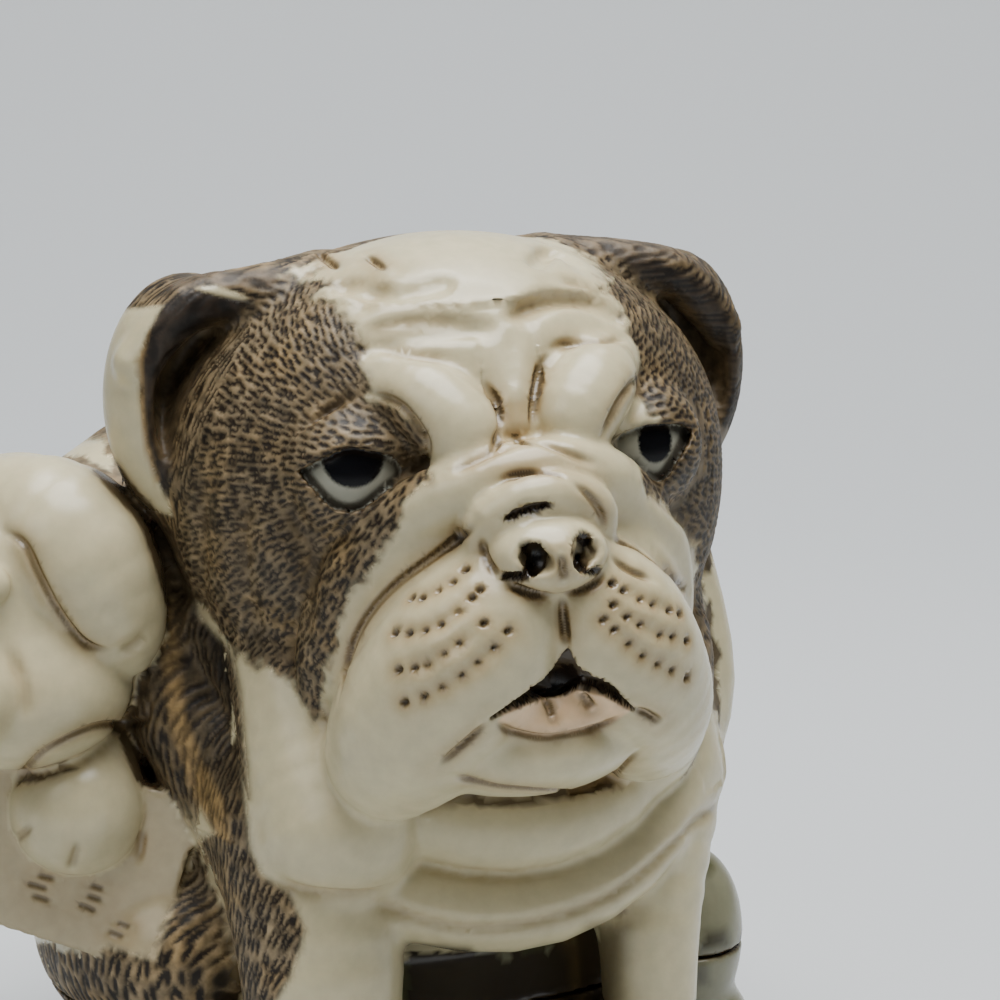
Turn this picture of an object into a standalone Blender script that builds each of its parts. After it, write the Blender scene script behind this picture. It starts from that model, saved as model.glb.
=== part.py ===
"""A bulldog box figurine: two bulldogs on an oval rocky foot, cast in resin as a box.

The dogs are the lid. They lift off the foot at a flat seam, and a raised lip round the mouth of the
foot keeps the lid in its place. Both castings are hollow. The carving is one free form, laid out in
shares of the figurine's height and sampled on a grid. The foot, the walls, the cavity, the lip and
the seam have sizes of their own.
"""
import math

import bpy
import numpy as np

# Driving sizes, in metres
HEIGHT = 0.0705          # table to the crown of the big dog's head
FOOT_LENGTH = 0.060      # the oval foot, front to back
FOOT_WIDTH = 0.054       # the oval foot, side to side
FOOT_TOP = 0.0135        # the rocks' shoulder above the table
SEAM_HEIGHT = 0.0120     # where the lid sits on the foot
SEAM_GAP = 0.0003        # between the two castings
FLOOR = 0.0040           # resin under the cavity
FOOT_WALL = 0.0165       # from the foot's rim in to the cavity
CAVITY_SETBACK = 0.0030  # the cavity's centre behind the foot's centre
CROWN = 0.0370           # solid resin above the cavity, to the crown of the head
SHOULDER = 0.0050        # how high the cavity's walls in the lid go straight up
LIP_HEIGHT = 0.0016      # the locating lip above the seam
LIP_WALL = 0.0015
LIP_PLAY = 0.0003        # between the lip and the lid

# How finely the carving is sampled, and how many flat faces it keeps
GRID_STEP = 0.0007
BLOCK_COUNT = 4          # grid points across the blocks that are skipped away from the skin
BLOCK_REACH = 2.0        # blocks this many sides from the skin are measured
SEARCH_SHARE = 1.2       # half the space searched for the figure, as a share of its largest size
CARVING_TRIANGLES = 7900
OVAL_SIDES = 36
DOME_RINGS = 6

# Colours and finishes: cream resin, washed brown in the hollows
CREAM = (0.72, 0.66, 0.53)
STONE = (0.52, 0.50, 0.38)
RESIN_ROUGHNESS = 0.28

# The carving is laid out in sculptor's units. X runs to the big dog's left,
# Y from its nose to its tail and Z up. The foot's centre is this far behind the middle of its head.
UNITS = 70.5             # to the height
UNIT = HEIGHT / UNITS
FOOT_CENTRE = np.array((0.0, 12.0, 0.0))
HEAD_CENTRE = np.array((0.0, 0.0, 54.0))

# The carving runs this far below the table, where the foot is then cut flat
BELOW_TABLE = 2.0

# Inside this distance a shape is measured exactly; further out its box will do
NEAR = 7.0


def smooth_union(a, b, blend):
    """Two distances joined, with a soft fillet of the given size."""
    share = np.clip(0.5 + 0.5 * (b - a) / blend, 0, 1)
    return b + (a - b) * share - blend * share * (1 - share)


def smooth_cut(a, b, blend):
    """The part of a that is inside b, with a soft edge."""
    return -smooth_union(-a, -b, blend)


def length(rows):
    return np.sqrt((rows * rows).sum(-1))


def smooth_curve(rows, steps=4):
    """Points on a smooth curve through the rows; a radius in a row is carried along."""
    rows = np.asarray(rows, float)
    first = 2 * rows[0] - rows[1]
    last = 2 * rows[-1] - rows[-2]
    guides = np.vstack([first, rows, last])
    points = []
    for before, start, end, after in zip(guides, guides[1:], guides[2:], guides[3:]):
        bend = 2 * before - 5 * start + 4 * end - after
        twist = 3 * start - before - 3 * end + after
        for t in np.arange(steps) / steps:
            points.append(0.5 * (2 * start + (end - before) * t + bend * t * t + twist * t ** 3))
    points.append(rows[-1])
    return np.array(points)


class Shape:
    """A form in sculptor's units. Calling it gives the distance from points to its skin."""

    def __call__(self, points):
        outside = np.maximum(self.low - points, points - self.high).max(1)
        distance = np.maximum(outside, 0)
        near = outside < NEAR
        if near.any():
            distance[near] = self.measure(points[near])
        return distance


class Ball(Shape):
    """An egg shape, turned about the Y axis by lean degrees."""

    def __init__(self, centre, radii, lean=0.0):
        angle = math.radians(lean)
        cos, sin = math.cos(angle), math.sin(angle)
        self.centre = np.array(centre)
        self.radii = np.array(radii)
        self.turn = np.array(((cos, 0, sin), (0, 1, 0), (-sin, 0, cos)))
        reach = length(self.turn * self.radii)
        self.low = self.centre - reach
        self.high = self.centre + reach

    def measure(self, points):
        local = (points - self.centre) @ self.turn
        share = length(local / self.radii)
        slope = length(local / self.radii ** 2)
        return share * (share - 1) / np.maximum(slope, 1e-6)


class Fold(Shape):
    """A roll of skin or a limb: rows of x, y, z and radius, on a smooth curve."""

    def __init__(self, *rows):
        self.path = smooth_curve(rows)
        reach = self.path[:, 3].max()
        self.low = self.path[:, :3].min(0) - reach
        self.high = self.path[:, :3].max(0) + reach

    def measure(self, points):
        distance = np.full(len(points), np.inf)
        for start, end in zip(self.path, self.path[1:]):
            run = end[:3] - start[:3]
            local = points - start[:3]
            share = np.clip(local @ run / (run @ run), 0, 1)
            radius = start[3] + share * (end[3] - start[3])
            distance = np.minimum(distance, length(local - share[:, None] * run) - radius)
        return distance


def joined(points, shapes, blend):
    distance = shapes[0](points)
    for shape in shapes[1:]:
        distance = smooth_union(distance, shape(points), blend)
    return distance


# The big dog's head, measured from its centre
SKULL = [
    Ball((0, 2.5, 2.5), (20, 15.5, 13.3)),
    Ball((-11.3, 0.5, -2.8), (9.6, 11.5, 11.6)),
    Ball((11.5, 0.5, -3.5), (9.6, 11.5, 12.5)),
    Ball((0, -4, 5), (14, 9.5, 10.5)),
]
JOWLS = [
    Fold((-13.2, -1.4, -10, 4.2), (-12.7, -5.2, -18, 5.0), (-11.4, -8.6, -24.8, 6.2)),
    Fold((14.5, -1, -10, 4.5), (14.2, -4.5, -16, 5.2), (12.2, -7.5, -20.4, 5.0)),
]
CHIN = Ball((0.4, -12.6, -17.6), (9.6, 9.6, 4.6))
LOWER_LIP = Ball((0.3, -17.4, -15.0), (5.4, 5.2, 3.0))
FLEWS = [
    Fold((-2.3, -18.2, -6.8, 5), (-4.8, -18.2, -10.5, 6.2), (-7.6, -15.8, -15.5, 6), (-8.9, -14, -18.4, 4.8)),
    Fold((2.9, -18.2, -6.6, 5), (5.5, -18, -10.2, 6.2), (8.6, -15.4, -14.8, 5.9), (10.2, -13.6, -17.6, 4.8)),
]
MUZZLE_CORE = [
    Ball((0.4, -11.5, -9), (9.5, 7.5, 9)),
    Ball((0.3, -7.6, -14), (13, 5, 4.4)),
    Ball((0.3, -15.6, 0.4), (6.2, 3.4, 3.4)),
]
MUZZLE_ROOTS = [
    Fold((-4.0, -15.5, -2.2, 2.6), (-6.8, -14.6, -5.0, 3), (-9.0, -13.0, -8.6, 3), (-10.4, -11, -13, 3)),
    Fold((4.4, -15.5, -2.2, 2.6), (7.8, -14.6, -5.0, 3), (10.4, -13.0, -8.6, 3), (11.4, -11, -13, 3)),
]
NOSE_ROLL = Fold(
    (-11.6, -8.6, -18.5, 1.2), (-12.5, -9.4, -12.5, 2.1), (-11.2, -11.6, -6.6, 2.5),
    (-8.4, -14.2, -2.2, 2.5), (-4.6, -17, 0.9, 2.4), (0, -17.9, 1.9, 2.3), (4.8, -17, 1.2, 2.4),
    (8.8, -14.2, -1.8, 2.5), (12, -11.6, -6, 2.5), (13.6, -9.4, -12, 2.1), (13.2, -8.8, -16.5, 1.2),
)
NOSE_HOOD = Fold(
    (-3.9, -19, -3.2, 1.5), (-3.5, -19.8, -0.6, 1.7), (0, -20.6, 0.8, 1.7),
    (3.7, -19.8, -0.4, 1.7), (4.3, -19, -3, 1.5),
)
NOSE = Ball((0, -20.8, -3.2), (4.4, 4.0, 2.9))
NOSTRILS = [Ball((-1.9, -24.4, -2.9), (1.3, 1.9, 0.9), 20), Ball((1.9, -24.4, -2.8), (1.3, 1.9, 0.9), -20)]
BROWS = [
    Fold((-8, -10.6, 7.4, 1.9), (-6, -12.6, 6.4, 2.9), (-4.2, -14.4, 4.6, 3), (-3.6, -15, 3.4, 2.4)),
    Fold((8.6, -10.6, 8, 1.9), (6.6, -12.8, 6.9, 3.1), (4.6, -14.4, 5.2, 3.2), (4, -15, 4, 2.4)),
]
FROWN = Fold((0.3, -9.5, 11, 2), (0.2, -12.8, 7.5, 1.8), (0, -14.6, 4.6, 1.5))
EAR_BOWLS = [Ball((-18.6, 2.6, 4.4), (6.5, 5.2, 9.6), -4), Ball((18.7, 3.0, 4.6), (6.1, 5.2, 9.3), 4)]
EAR_HOLLOWS = [Ball((-17.6, -3.0, 4.0), (5.0, 7.0, 8.2), -4), Ball((18.0, -2.6, 4.4), (4.7, 7.0, 8.2), 4)]
EAR_RIMS = [
    Fold((-9.5, 1.5, 12.6, 2.6), (-14.5, 0.2, 12.6, 2.0), (-19.6, 0, 11.8, 1.9), (-23.3, 0.4, 8, 1.6)),
    Fold((8.5, 1.5, 13.2, 2.5), (14.2, 0.8, 13.2, 1.9), (18.6, 0.6, 12.1, 1.8), (22.3, 0.8, 8, 1.5)),
]

FURROW_DEPTH = 0.35
FURROW_RADIUS = 0.55
FOREHEAD_FURROWS = [
    [(-9.4, 10.2), (-6.8, 10.9), (-4.0, 11.2), (-1.2, 11.2)],
    [(1.6, 12.0), (4.4, 12.8), (7.2, 12.4), (9.6, 11.2)],
    [(-9.6, 13.8), (-6.4, 13.6), (-3.4, 14.2)],
    [(4.4, 15.0), (7.6, 15.0), (10.4, 14.2)],
]

# The eyes and their lids
EYE_RADIUS = 4.3
EYES = [np.array((-10.6, -9.4, 1.3)), np.array((10.9, -9.4, 1.6))]
LID_THICKNESS = 0.9
UPPER_LID = 1.5
LOWER_LID = -2.6

# The big dog's body, and the ground, measured from the table under the middle of its head
TRUNK = [
    Ball((1, 1.5, 30), (19.4, 12, 11.5)),
    Ball((0, 8, 29), (21, 15, 17)),
    Ball((-4, 20, 31), (20, 18, 18)),
    Ball((0, 10, 44), (17, 14, 12)),
]
HAUNCHES = [
    Ball((-17, 24, 19), (10, 13, 13)),
    Ball((-19, 12, 16), (10, 14, 9.5)),
    Ball((17, 22, 19), (9, 13, 13)),
]
FORELEGS = [
    Fold((-12, -4, 28, 7.5), (-12.5, -8, 18, 6), (-12.5, -9, 8, 5.4), (-12.5, -11, 3.4, 5.2)),
    Fold((14.8, -2, 28, 6.4), (13.8, -6.5, 18, 4.0), (13.6, -7.8, 8, 3.6), (13.8, -9.6, 3.4, 4.6)),
]
TOE_SPACING = 3.1
TOE_RADIUS = 2.1
CHEST_FOLDS = [
    Fold((-17, 3, 42, 3), (-10, -6, 32, 3.6), (1, -10.5, 28.5, 3.8), (11, -8, 31, 3.6), (18.6, 2, 40, 3)),
    Fold((-20, 5, 38, 3), (-12, -6, 26, 3.2), (1, -11, 22, 3.2), (13, -8, 26, 3.2), (20, 3, 36, 3)),
]
RUFF = [
    Fold((-19, 9, 52, 2.6), (-20.5, 7, 44, 3.4), (-19.5, 3, 34, 3.6), (-15, 0, 26, 3)),
    Fold((19, 9, 52, 2.6), (20.5, 7, 44, 3.4), (21, 3, 34, 3.6), (18, 0, 26, 3)),
    Ball((-20.5, 8, 35), (5, 5, 4.5)),
]
TAIL = Fold((3, 37, 27, 3.0), (7, 40, 24, 2.6), (11, 39.5, 22, 2.0))

# The small dog that lies over the big one's back, with one paw on a card
SMALL_HEAD = [
    Ball((-30.0, 10, 43.5), (9.0, 9.5, 10.5)),
    Ball((-36.0, 8, 45.0), (8.0, 8.5, 8.5)),
    Ball((-31.5, 4.5, 38.0), (8.4, 7.0, 6.2)),
]
SMALL_MUZZLE = [Ball((-37.6, 0.8, 38.6), (5.2, 5.0, 4.6)), Ball((-41.2, 4.0, 38.8), (4.6, 4.8, 4.4))]
SMALL_NOSE = Ball((-41.3, -1.4, 42.4), (2.3, 2.2, 1.7))
SMALL_EYES = [Ball((-34.8, 0.4, 46.6), (2.0, 2.0, 1.8)), Ball((-43.2, 6.0, 46.8), (2.0, 2.0, 1.8))]
SMALL_EARS = [
    Fold((-33, 9, 50.8, 3.4), (-28.0, 4.6, 48.2, 6.0), (-25.4, 3.0, 43.6, 4.6), (-24.0, 2.0, 40.6, 2.0)),
    Fold((-37, 14, 51.0, 2.8), (-41.0, 13.5, 47.8, 3.8), (-42.6, 12.4, 43.0, 2.6), (-42.8, 11.5, 40.4, 1.4)),
]
SMALL_BODY = Fold((-25, 15, 42, 8.5), (-13, 22, 46, 9.4), (2, 26, 46.5, 9.6), (11, 27, 42, 8.6))
SMALL_FORELEG = Fold((-27, 12, 36, 5), (-27, 8, 31.5, 5.4), (-27.4, 4.4, 28.4, 5.2))
SMALL_HIND_LEGS = [
    Fold((12, 24, 41, 7.0), (19, 20, 36.5, 5.6), (20.5, 15.5, 32.5, 3.6), (20.5, 11, 31, 3.0)),
    Fold((9, 33, 40, 6.6), (15, 35, 35, 5.2), (17.5, 33, 30.5, 3.4), (18.5, 29, 28.5, 2.8)),
]
SMALL_TAIL = Fold((17, 31, 45, 2.4), (20.5, 31, 43, 1.8))
SMALL_TOE_GAPS = [
    Fold((-29.6, -0.6, 31.2, 0.5), (-29.6, -1.4, 28.0, 0.5), (-29.6, -0.4, 24.6, 0.5)),
    Fold((-25.6, -0.8, 31.2, 0.5), (-25.6, -1.4, 28.0, 0.5), (-25.6, -0.4, 24.6, 0.5)),
]
CARD_CENTRE = np.array((-28.4, 4.4, 25.0))
CARD_HALF = np.array((8.5, 0.9, 6.6))
CARD_TURN = math.radians(-18)      # about the upright, towards the flank
CARD_TILT = math.radians(19)       # in its own plane, lower on the side of the big dog

# The rocks of the foot: humps on an oval plateau
ROCK_COUNT = 11
ROCK_RADIUS = 4.2
BANK_CENTRE = (3, 16, 12)
BANK_INSET = (4, 10)       # in from the plateau's side and from its end
BANK_HEIGHT = 13
OUTCROP = Ball((-5.6, 6, 11), (5, 6, 8.4), 12)    # from the plateau's left side


def laid_on_skull(rows):
    """A furrow along rows of x and z on the front of the skull, half sunk in the skin."""
    depths = np.arange(-20, 5, 0.1)
    path = []
    for x, z in rows:
        line = np.stack([np.full(len(depths), x), depths, np.full(len(depths), z)], 1)
        skin = depths[np.argmax(joined(line, SKULL, 5.0) < 0)]
        path.append((x, skin - FURROW_RADIUS + FURROW_DEPTH, z, FURROW_RADIUS))
    return Fold(*path)


FURROWS = [laid_on_skull(rows) for rows in FOREHEAD_FURROWS]


def eyelids(head_points):
    """Shells over the eyeballs, open between the upper and the lower lid."""
    distance = np.full(len(head_points), np.inf)
    for side, centre in zip((-1, 1), EYES):
        local = head_points - centre
        outward = local[:, 0] * side
        upper = UPPER_LID - 0.12 * (outward + 0.2) ** 2
        lower = LOWER_LID + 0.16 * outward ** 2
        opening = np.maximum(local[:, 2] - upper, lower - local[:, 2])
        shell = smooth_cut(length(local) - EYE_RADIUS - LID_THICKNESS, -0.9 * opening, 0.35)
        in_front = local[:, 1] < 2
        distance = np.where(in_front, np.minimum(distance, shell), distance)
    return np.minimum(distance, NEAR)


def big_head(points):
    """The big dog's head, with its eyes, muzzle, brow and ears."""
    head_points = points - HEAD_CENTRE
    distance = joined(head_points, SKULL, 5.0)
    for furrow in FURROWS:
        distance = smooth_cut(distance, -furrow(head_points), 1.0)
    for centre in EYES:
        distance = smooth_cut(distance, EYE_RADIUS - 0.1 - length(head_points - centre), 1.2)
    distance = smooth_union(distance, joined(head_points, JOWLS, 2.0), 1.5)
    distance = smooth_union(distance, CHIN(head_points), 1.5)
    distance = smooth_union(distance, LOWER_LIP(head_points), 0.5)
    distance = smooth_union(distance, joined(head_points, MUZZLE_CORE, 0.8), 1.0)
    distance = smooth_union(distance, joined(head_points, MUZZLE_ROOTS, 0.8), 1.0)
    distance = smooth_union(distance, joined(head_points, FLEWS, 0.8), 0.8)
    distance = smooth_union(distance, NOSE_ROLL(head_points), 0.8)
    distance = smooth_union(distance, joined(head_points, BROWS, 0.6), 0.8)
    distance = smooth_union(distance, FROWN(head_points), 0.8)
    distance = smooth_union(distance, NOSE_HOOD(head_points), 0.5)
    distance = smooth_union(distance, NOSE(head_points), 0.5)
    for nostril in NOSTRILS:
        distance = smooth_cut(distance, -nostril(head_points), 0.5)
    distance = smooth_union(distance, eyelids(head_points), 0.7)
    for bowl, hollow, rim in zip(EAR_BOWLS, EAR_HOLLOWS, EAR_RIMS):
        ear = smooth_cut(bowl(head_points), -hollow(head_points), 0.8)
        ear = smooth_union(ear, rim(head_points), 0.8)
        distance = smooth_union(distance, ear, 1.5)
    for centre in EYES:
        distance = np.minimum(distance, length(head_points - centre) - EYE_RADIUS)
    return distance


def paw_toes():
    """Four toes in front of each foreleg."""
    toes = []
    for leg in FORELEGS:
        x, y, z, radius = leg.path[-1]
        for place in (-1.5, -0.5, 0.5, 1.5):
            forward = y - radius + 0.5 * abs(place)
            across = x + place * TOE_SPACING * 0.9
            knuckle = (across, forward + 3, TOE_RADIUS + 1.6, TOE_RADIUS)
            tip = (across, forward - 0.8, TOE_RADIUS, TOE_RADIUS)
            toes.append(Fold(knuckle, tip))
    return toes


TOES = paw_toes()


def big_body(points):
    """Trunk, haunches, legs and the rolls of skin round the neck and chest."""
    distance = joined(points, TRUNK, 6.0)
    distance = smooth_union(distance, joined(points, HAUNCHES, 2.0), 2.5)
    distance = smooth_union(distance, joined(points, FORELEGS, 1.0), 3.0)
    distance = smooth_union(distance, joined(points, TOES, 0.4), 0.5)
    distance = smooth_union(distance, joined(points, CHEST_FOLDS, 0.8), 1.0)
    distance = smooth_union(distance, TAIL(points), 1.5)
    return smooth_union(distance, joined(points, RUFF, 0.8), 1.2)


def card(points):
    """The flat card under the small dog's paw."""
    cos, sin = math.cos(CARD_TURN), math.sin(CARD_TURN)
    turn = np.array(((cos, -sin, 0), (sin, cos, 0), (0, 0, 1)))
    cos, sin = math.cos(CARD_TILT), math.sin(CARD_TILT)
    tilt = np.array(((cos, 0, sin), (0, 1, 0), (-sin, 0, cos)))
    over = np.abs((points - CARD_CENTRE) @ turn @ tilt) - CARD_HALF
    return length(np.maximum(over, 0)) + np.minimum(over.max(1), 0) - 0.2


def small_dog(points):
    """The small dog across the back, its paw on the card."""
    distance = smooth_union(joined(points, SMALL_HEAD, 2.5), SMALL_BODY(points), 3.0)
    distance = smooth_union(distance, joined(points, SMALL_HIND_LEGS, 1.0), 2.0)
    distance = smooth_union(distance, SMALL_TAIL(points), 1.0)
    distance = smooth_union(distance, joined(points, SMALL_MUZZLE, 0.6), 0.8)
    distance = smooth_union(distance, joined(points, [SMALL_NOSE, *SMALL_EYES], 0.3), 0.3)
    distance = smooth_union(distance, joined(points, SMALL_EARS, 0.6), 0.5)
    distance = smooth_union(distance, SMALL_FORELEG(points), 0.6)
    for toe_gap in SMALL_TOE_GAPS:
        distance = smooth_cut(distance, -toe_gap(points), 0.8)
    return smooth_union(distance, card(points), 0.4)


def foot(points):
    """An oval plateau with rocks round its edge, set out from the foot's own sizes."""
    half_length = FOOT_LENGTH / 2 / UNIT
    half_width = FOOT_WIDTH / 2 / UNIT
    top = FOOT_TOP / UNIT
    plateau = Ball(FOOT_CENTRE, (half_width, half_length, top))
    bank_size = (half_width - BANK_INSET[0], half_length - BANK_INSET[1], BANK_HEIGHT)
    distance = smooth_union(plateau(points), Ball(BANK_CENTRE, bank_size)(points), 4.0)
    outcrop_points = points - np.array((half_width, 0, 0), points.dtype)
    distance = smooth_union(distance, OUTCROP(outcrop_points), 0.8)
    for index in range(ROCK_COUNT):
        angle = 2 * math.pi * (index + 0.5) / ROCK_COUNT
        size = ROCK_RADIUS * (1 + 0.22 * math.sin(5.0 * index))
        place = FOOT_CENTRE + (
            (half_width - size) * math.cos(angle),
            (half_length - size) * math.sin(angle),
            top * (0.42 + 0.18 * math.cos(3.0 * index)),
        )
        rock = Ball(place, (size * 1.25, size * 1.15, size * 0.95), 25 * math.sin(2.0 * index))
        distance = smooth_union(distance, rock(points), 0.8)
    return distance


def figure(points):
    """The whole carving as one solid, before it is parted at the seam."""
    distance = smooth_union(big_body(points), foot(points), 1.0)
    distance = smooth_union(distance, big_head(points), 0.8)
    distance = smooth_union(distance, small_dog(points), 0.6)
    return np.maximum(distance, -points[:, 2] - BELOW_TABLE)


# The two ways to part a tetrahedron: after an even reordering that puts the odd corner, or the pair
# of inside corners, first. The key has a bit for each corner that is inside.
ONE_CORNER = {1: (0, 1, 2, 3), 2: (1, 0, 3, 2), 4: (2, 0, 1, 3), 8: (3, 2, 1, 0)}
TWO_CORNERS = {
    3: (0, 1, 2, 3), 5: (0, 2, 3, 1), 9: (0, 3, 1, 2),
    6: (1, 2, 0, 3), 10: (1, 3, 2, 0), 12: (2, 3, 0, 1),
}
CELL_TETRAHEDRA = ((0, 1, 3, 7), (0, 3, 2, 7), (0, 2, 6, 7), (0, 6, 4, 7), (0, 4, 5, 7), (0, 5, 1, 7))
ALL_INSIDE = 15


def crossed_edges(nodes, inside):
    """Triangles over the grid edges that the skin crosses, as pairs of grid nodes."""
    key = (inside * (1, 2, 4, 8)).sum(1)
    triangles = []
    for code, order in ONE_CORNER.items():
        for chosen, flip in ((key == code, False), (key == ALL_INSIDE - code, True)):
            a, b, c, d = nodes[chosen][:, order].T
            spokes = [(a, b), (a, d), (a, c)] if flip else [(a, b), (a, c), (a, d)]
            triangles.append(np.stack([np.stack(edge, 1) for edge in spokes], 1))
    for code, order in TWO_CORNERS.items():
        p, q, r, s = nodes[key == code][:, order].T
        for corners in (((p, r), (p, s), (q, s)), ((p, r), (q, s), (q, r))):
            triangles.append(np.stack([np.stack(edge, 1) for edge in corners], 1))
    return np.concatenate(triangles)


def block_middles(low, blocks, step):
    """The middles of blocks of grid points, whose first point is at low."""
    half = (BLOCK_COUNT - 1) / 2 * step
    spans = [low[k] + BLOCK_COUNT * step * np.arange(blocks[k]) + half for k in range(3)]
    return np.stack(np.meshgrid(*spans, indexing="ij"), -1).reshape(-1, 3)


def reach_of(distance, spread, step):
    """The lowest corner and the counts of the blocks that hold the skin, within spread of the middle."""
    side = BLOCK_COUNT * step
    blocks = np.full(3, 2 * math.ceil(spread / side))
    low = -blocks / 2 * side
    near = np.abs(distance(block_middles(low, blocks, step))) < BLOCK_REACH * side
    places = np.stack(np.nonzero(near.reshape(blocks)), 1)
    first, last = places.min(0), places.max(0)
    return low + side * first, last + 1 - first


def sampled(distance, low, blocks, step):
    """Distances on a grid of blocks, measured point by point only in blocks near the skin."""
    half = (BLOCK_COUNT - 1) / 2 * step
    centres = block_middles(low, blocks, step)
    small = np.arange(BLOCK_COUNT) * step - half
    offsets = np.stack(np.meshgrid(small, small, small, indexing="ij"), -1).reshape(-1, 3)
    middle = distance(centres)
    values = np.repeat(middle[:, None], len(offsets), 1)
    near = np.abs(middle) < BLOCK_REACH * BLOCK_COUNT * step
    points = centres[near][:, None] + offsets
    values[near] = distance(points.reshape(-1, 3)).reshape(-1, len(offsets))
    values = values.reshape(*blocks, BLOCK_COUNT, BLOCK_COUNT, BLOCK_COUNT)
    return values.transpose(0, 3, 1, 4, 2, 5).reshape([BLOCK_COUNT * count for count in blocks])


def skin_mesh(distance, spread, step):
    """Vertices and triangles of the surface where the distance is zero. It is always closed."""
    low, blocks = reach_of(distance, spread, step)
    values = sampled(distance, low, blocks, step)
    counts = values.shape
    number = np.arange(values.size).reshape(counts)
    corners = []
    for up in (0, 1):
        for along in (0, 1):
            for across in (0, 1):
                shifts = zip((across, along, up), counts)
                ends = [slice(shift, count - 1 + shift) for shift, count in shifts]
                corners.append(number[tuple(ends)].ravel())
    cells = np.stack(corners, 1)
    values = values.ravel()
    inside = values < 0
    held = inside[cells]
    cells = cells[held.any(1) & ~held.all(1)]
    triangles = []
    for tetrahedron in CELL_TETRAHEDRA:
        nodes = cells[:, tetrahedron]
        triangles.append(crossed_edges(nodes, inside[nodes]))
    edges = np.sort(np.concatenate(triangles).reshape(-1, 2), 1)
    keys, corner = np.unique(edges[:, 0] * values.size + edges[:, 1], return_inverse=True)
    ends = [keys // values.size, keys % values.size]
    start, end = [low + step * np.stack(np.unravel_index(nodes, counts), 1) for nodes in ends]
    from_start = values[ends[0]] / (values[ends[0]] - values[ends[1]])
    share = np.clip(from_start, 0.05, 0.95)
    return start + share[:, None] * (end - start), corner.reshape(-1, 3)


# Blender objects
def clear_scene():
    for item in list(bpy.data.objects):
        bpy.data.objects.remove(item, do_unlink=True)


def resin(name, colour):
    material = bpy.data.materials.new(name)
    material.use_nodes = True
    shader = material.node_tree.nodes["Principled BSDF"]
    shader.inputs["Base Color"].default_value = (*colour, 1)
    shader.inputs["Roughness"].default_value = RESIN_ROUGHNESS
    shader.inputs["Metallic"].default_value = 0
    return material


def solid(name, vertices, faces):
    """A new object from points in metres and faces that look outward."""
    mesh = bpy.data.meshes.new(name)
    mesh.from_pydata([tuple(point) for point in vertices], [], [tuple(face) for face in faces])
    mesh.update()
    item = bpy.data.objects.new(name, mesh)
    bpy.context.scene.collection.objects.link(item)
    return item


def cutter(item):
    item.hide_render = True
    item.display_type = "WIRE"
    return item


def slab(name, bottom, top, reach):
    """A square block wide enough to hold the whole figurine, between two heights."""
    ring = [(-reach, -reach), (reach, -reach), (reach, reach), (-reach, reach)]
    vertices = [(x, y, z) for z in (bottom, top) for x, y in ring]
    sides = [(k, (k + 1) % 4, 4 + (k + 1) % 4, 4 + k) for k in range(4)]
    return solid(name, vertices, [(3, 2, 1, 0), (4, 5, 6, 7)] + sides)


def oval(name, half_width, half_length, levels):
    """A closed solid on an oval plan; each level is a height and a share of the plan's size."""
    vertices = []
    for height, share in levels:
        for index in range(OVAL_SIDES):
            angle = 2 * math.pi * index / OVAL_SIDES
            x = half_width * share * math.cos(angle)
            y = half_length * share * math.sin(angle) + CAVITY_SETBACK
            vertices.append((x, y, height))
    faces = [tuple(reversed(range(OVAL_SIDES)))]
    for level in range(len(levels) - 1):
        for index in range(OVAL_SIDES):
            beside = (index + 1) % OVAL_SIDES
            low, high = level * OVAL_SIDES, (level + 1) * OVAL_SIDES
            faces.append((low + index, low + beside, high + beside, high + index))
    top = (len(levels) - 1) * OVAL_SIDES
    faces.append(tuple(range(top, top + OVAL_SIDES)))
    return solid(name, vertices, faces)


def domed_levels(bottom, spring, top):
    """Straight walls up to the spring, then an arched roof."""
    levels = [(bottom, 1.0)]
    for index in range(DOME_RINGS):
        angle = math.pi / 2 * index / DOME_RINGS
        levels.append((spring + (top - spring) * math.sin(angle), math.cos(angle)))
    return levels


def boolean(item, operation, other):
    modifier = item.modifiers.new(other.name, "BOOLEAN")
    modifier.operation = operation
    modifier.solver = "EXACT"
    modifier.object = other


def carved_mesh():
    """The carving as one closed mesh with few faces."""
    spread = SEARCH_SHARE * max(HEIGHT, FOOT_LENGTH, FOOT_WIDTH) / UNIT
    vertices, faces = skin_mesh(figure, spread, GRID_STEP / UNIT)
    rough = solid("carving", (vertices - FOOT_CENTRE) * UNIT, faces)
    thin = rough.modifiers.new("fewer faces", "DECIMATE")
    thin.ratio = min(1.0, CARVING_TRIANGLES / len(faces))
    scene_state = bpy.context.evaluated_depsgraph_get()
    carved = bpy.data.meshes.new_from_object(rough.evaluated_get(scene_state))
    carved.shade_smooth()
    bpy.data.objects.remove(rough, do_unlink=True)
    return carved


def casting(name, carved, material):
    item = bpy.data.objects.new(name, carved.copy())
    item.data.name = name
    item.data.materials.append(material)
    bpy.context.scene.collection.objects.link(item)
    return item


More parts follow.
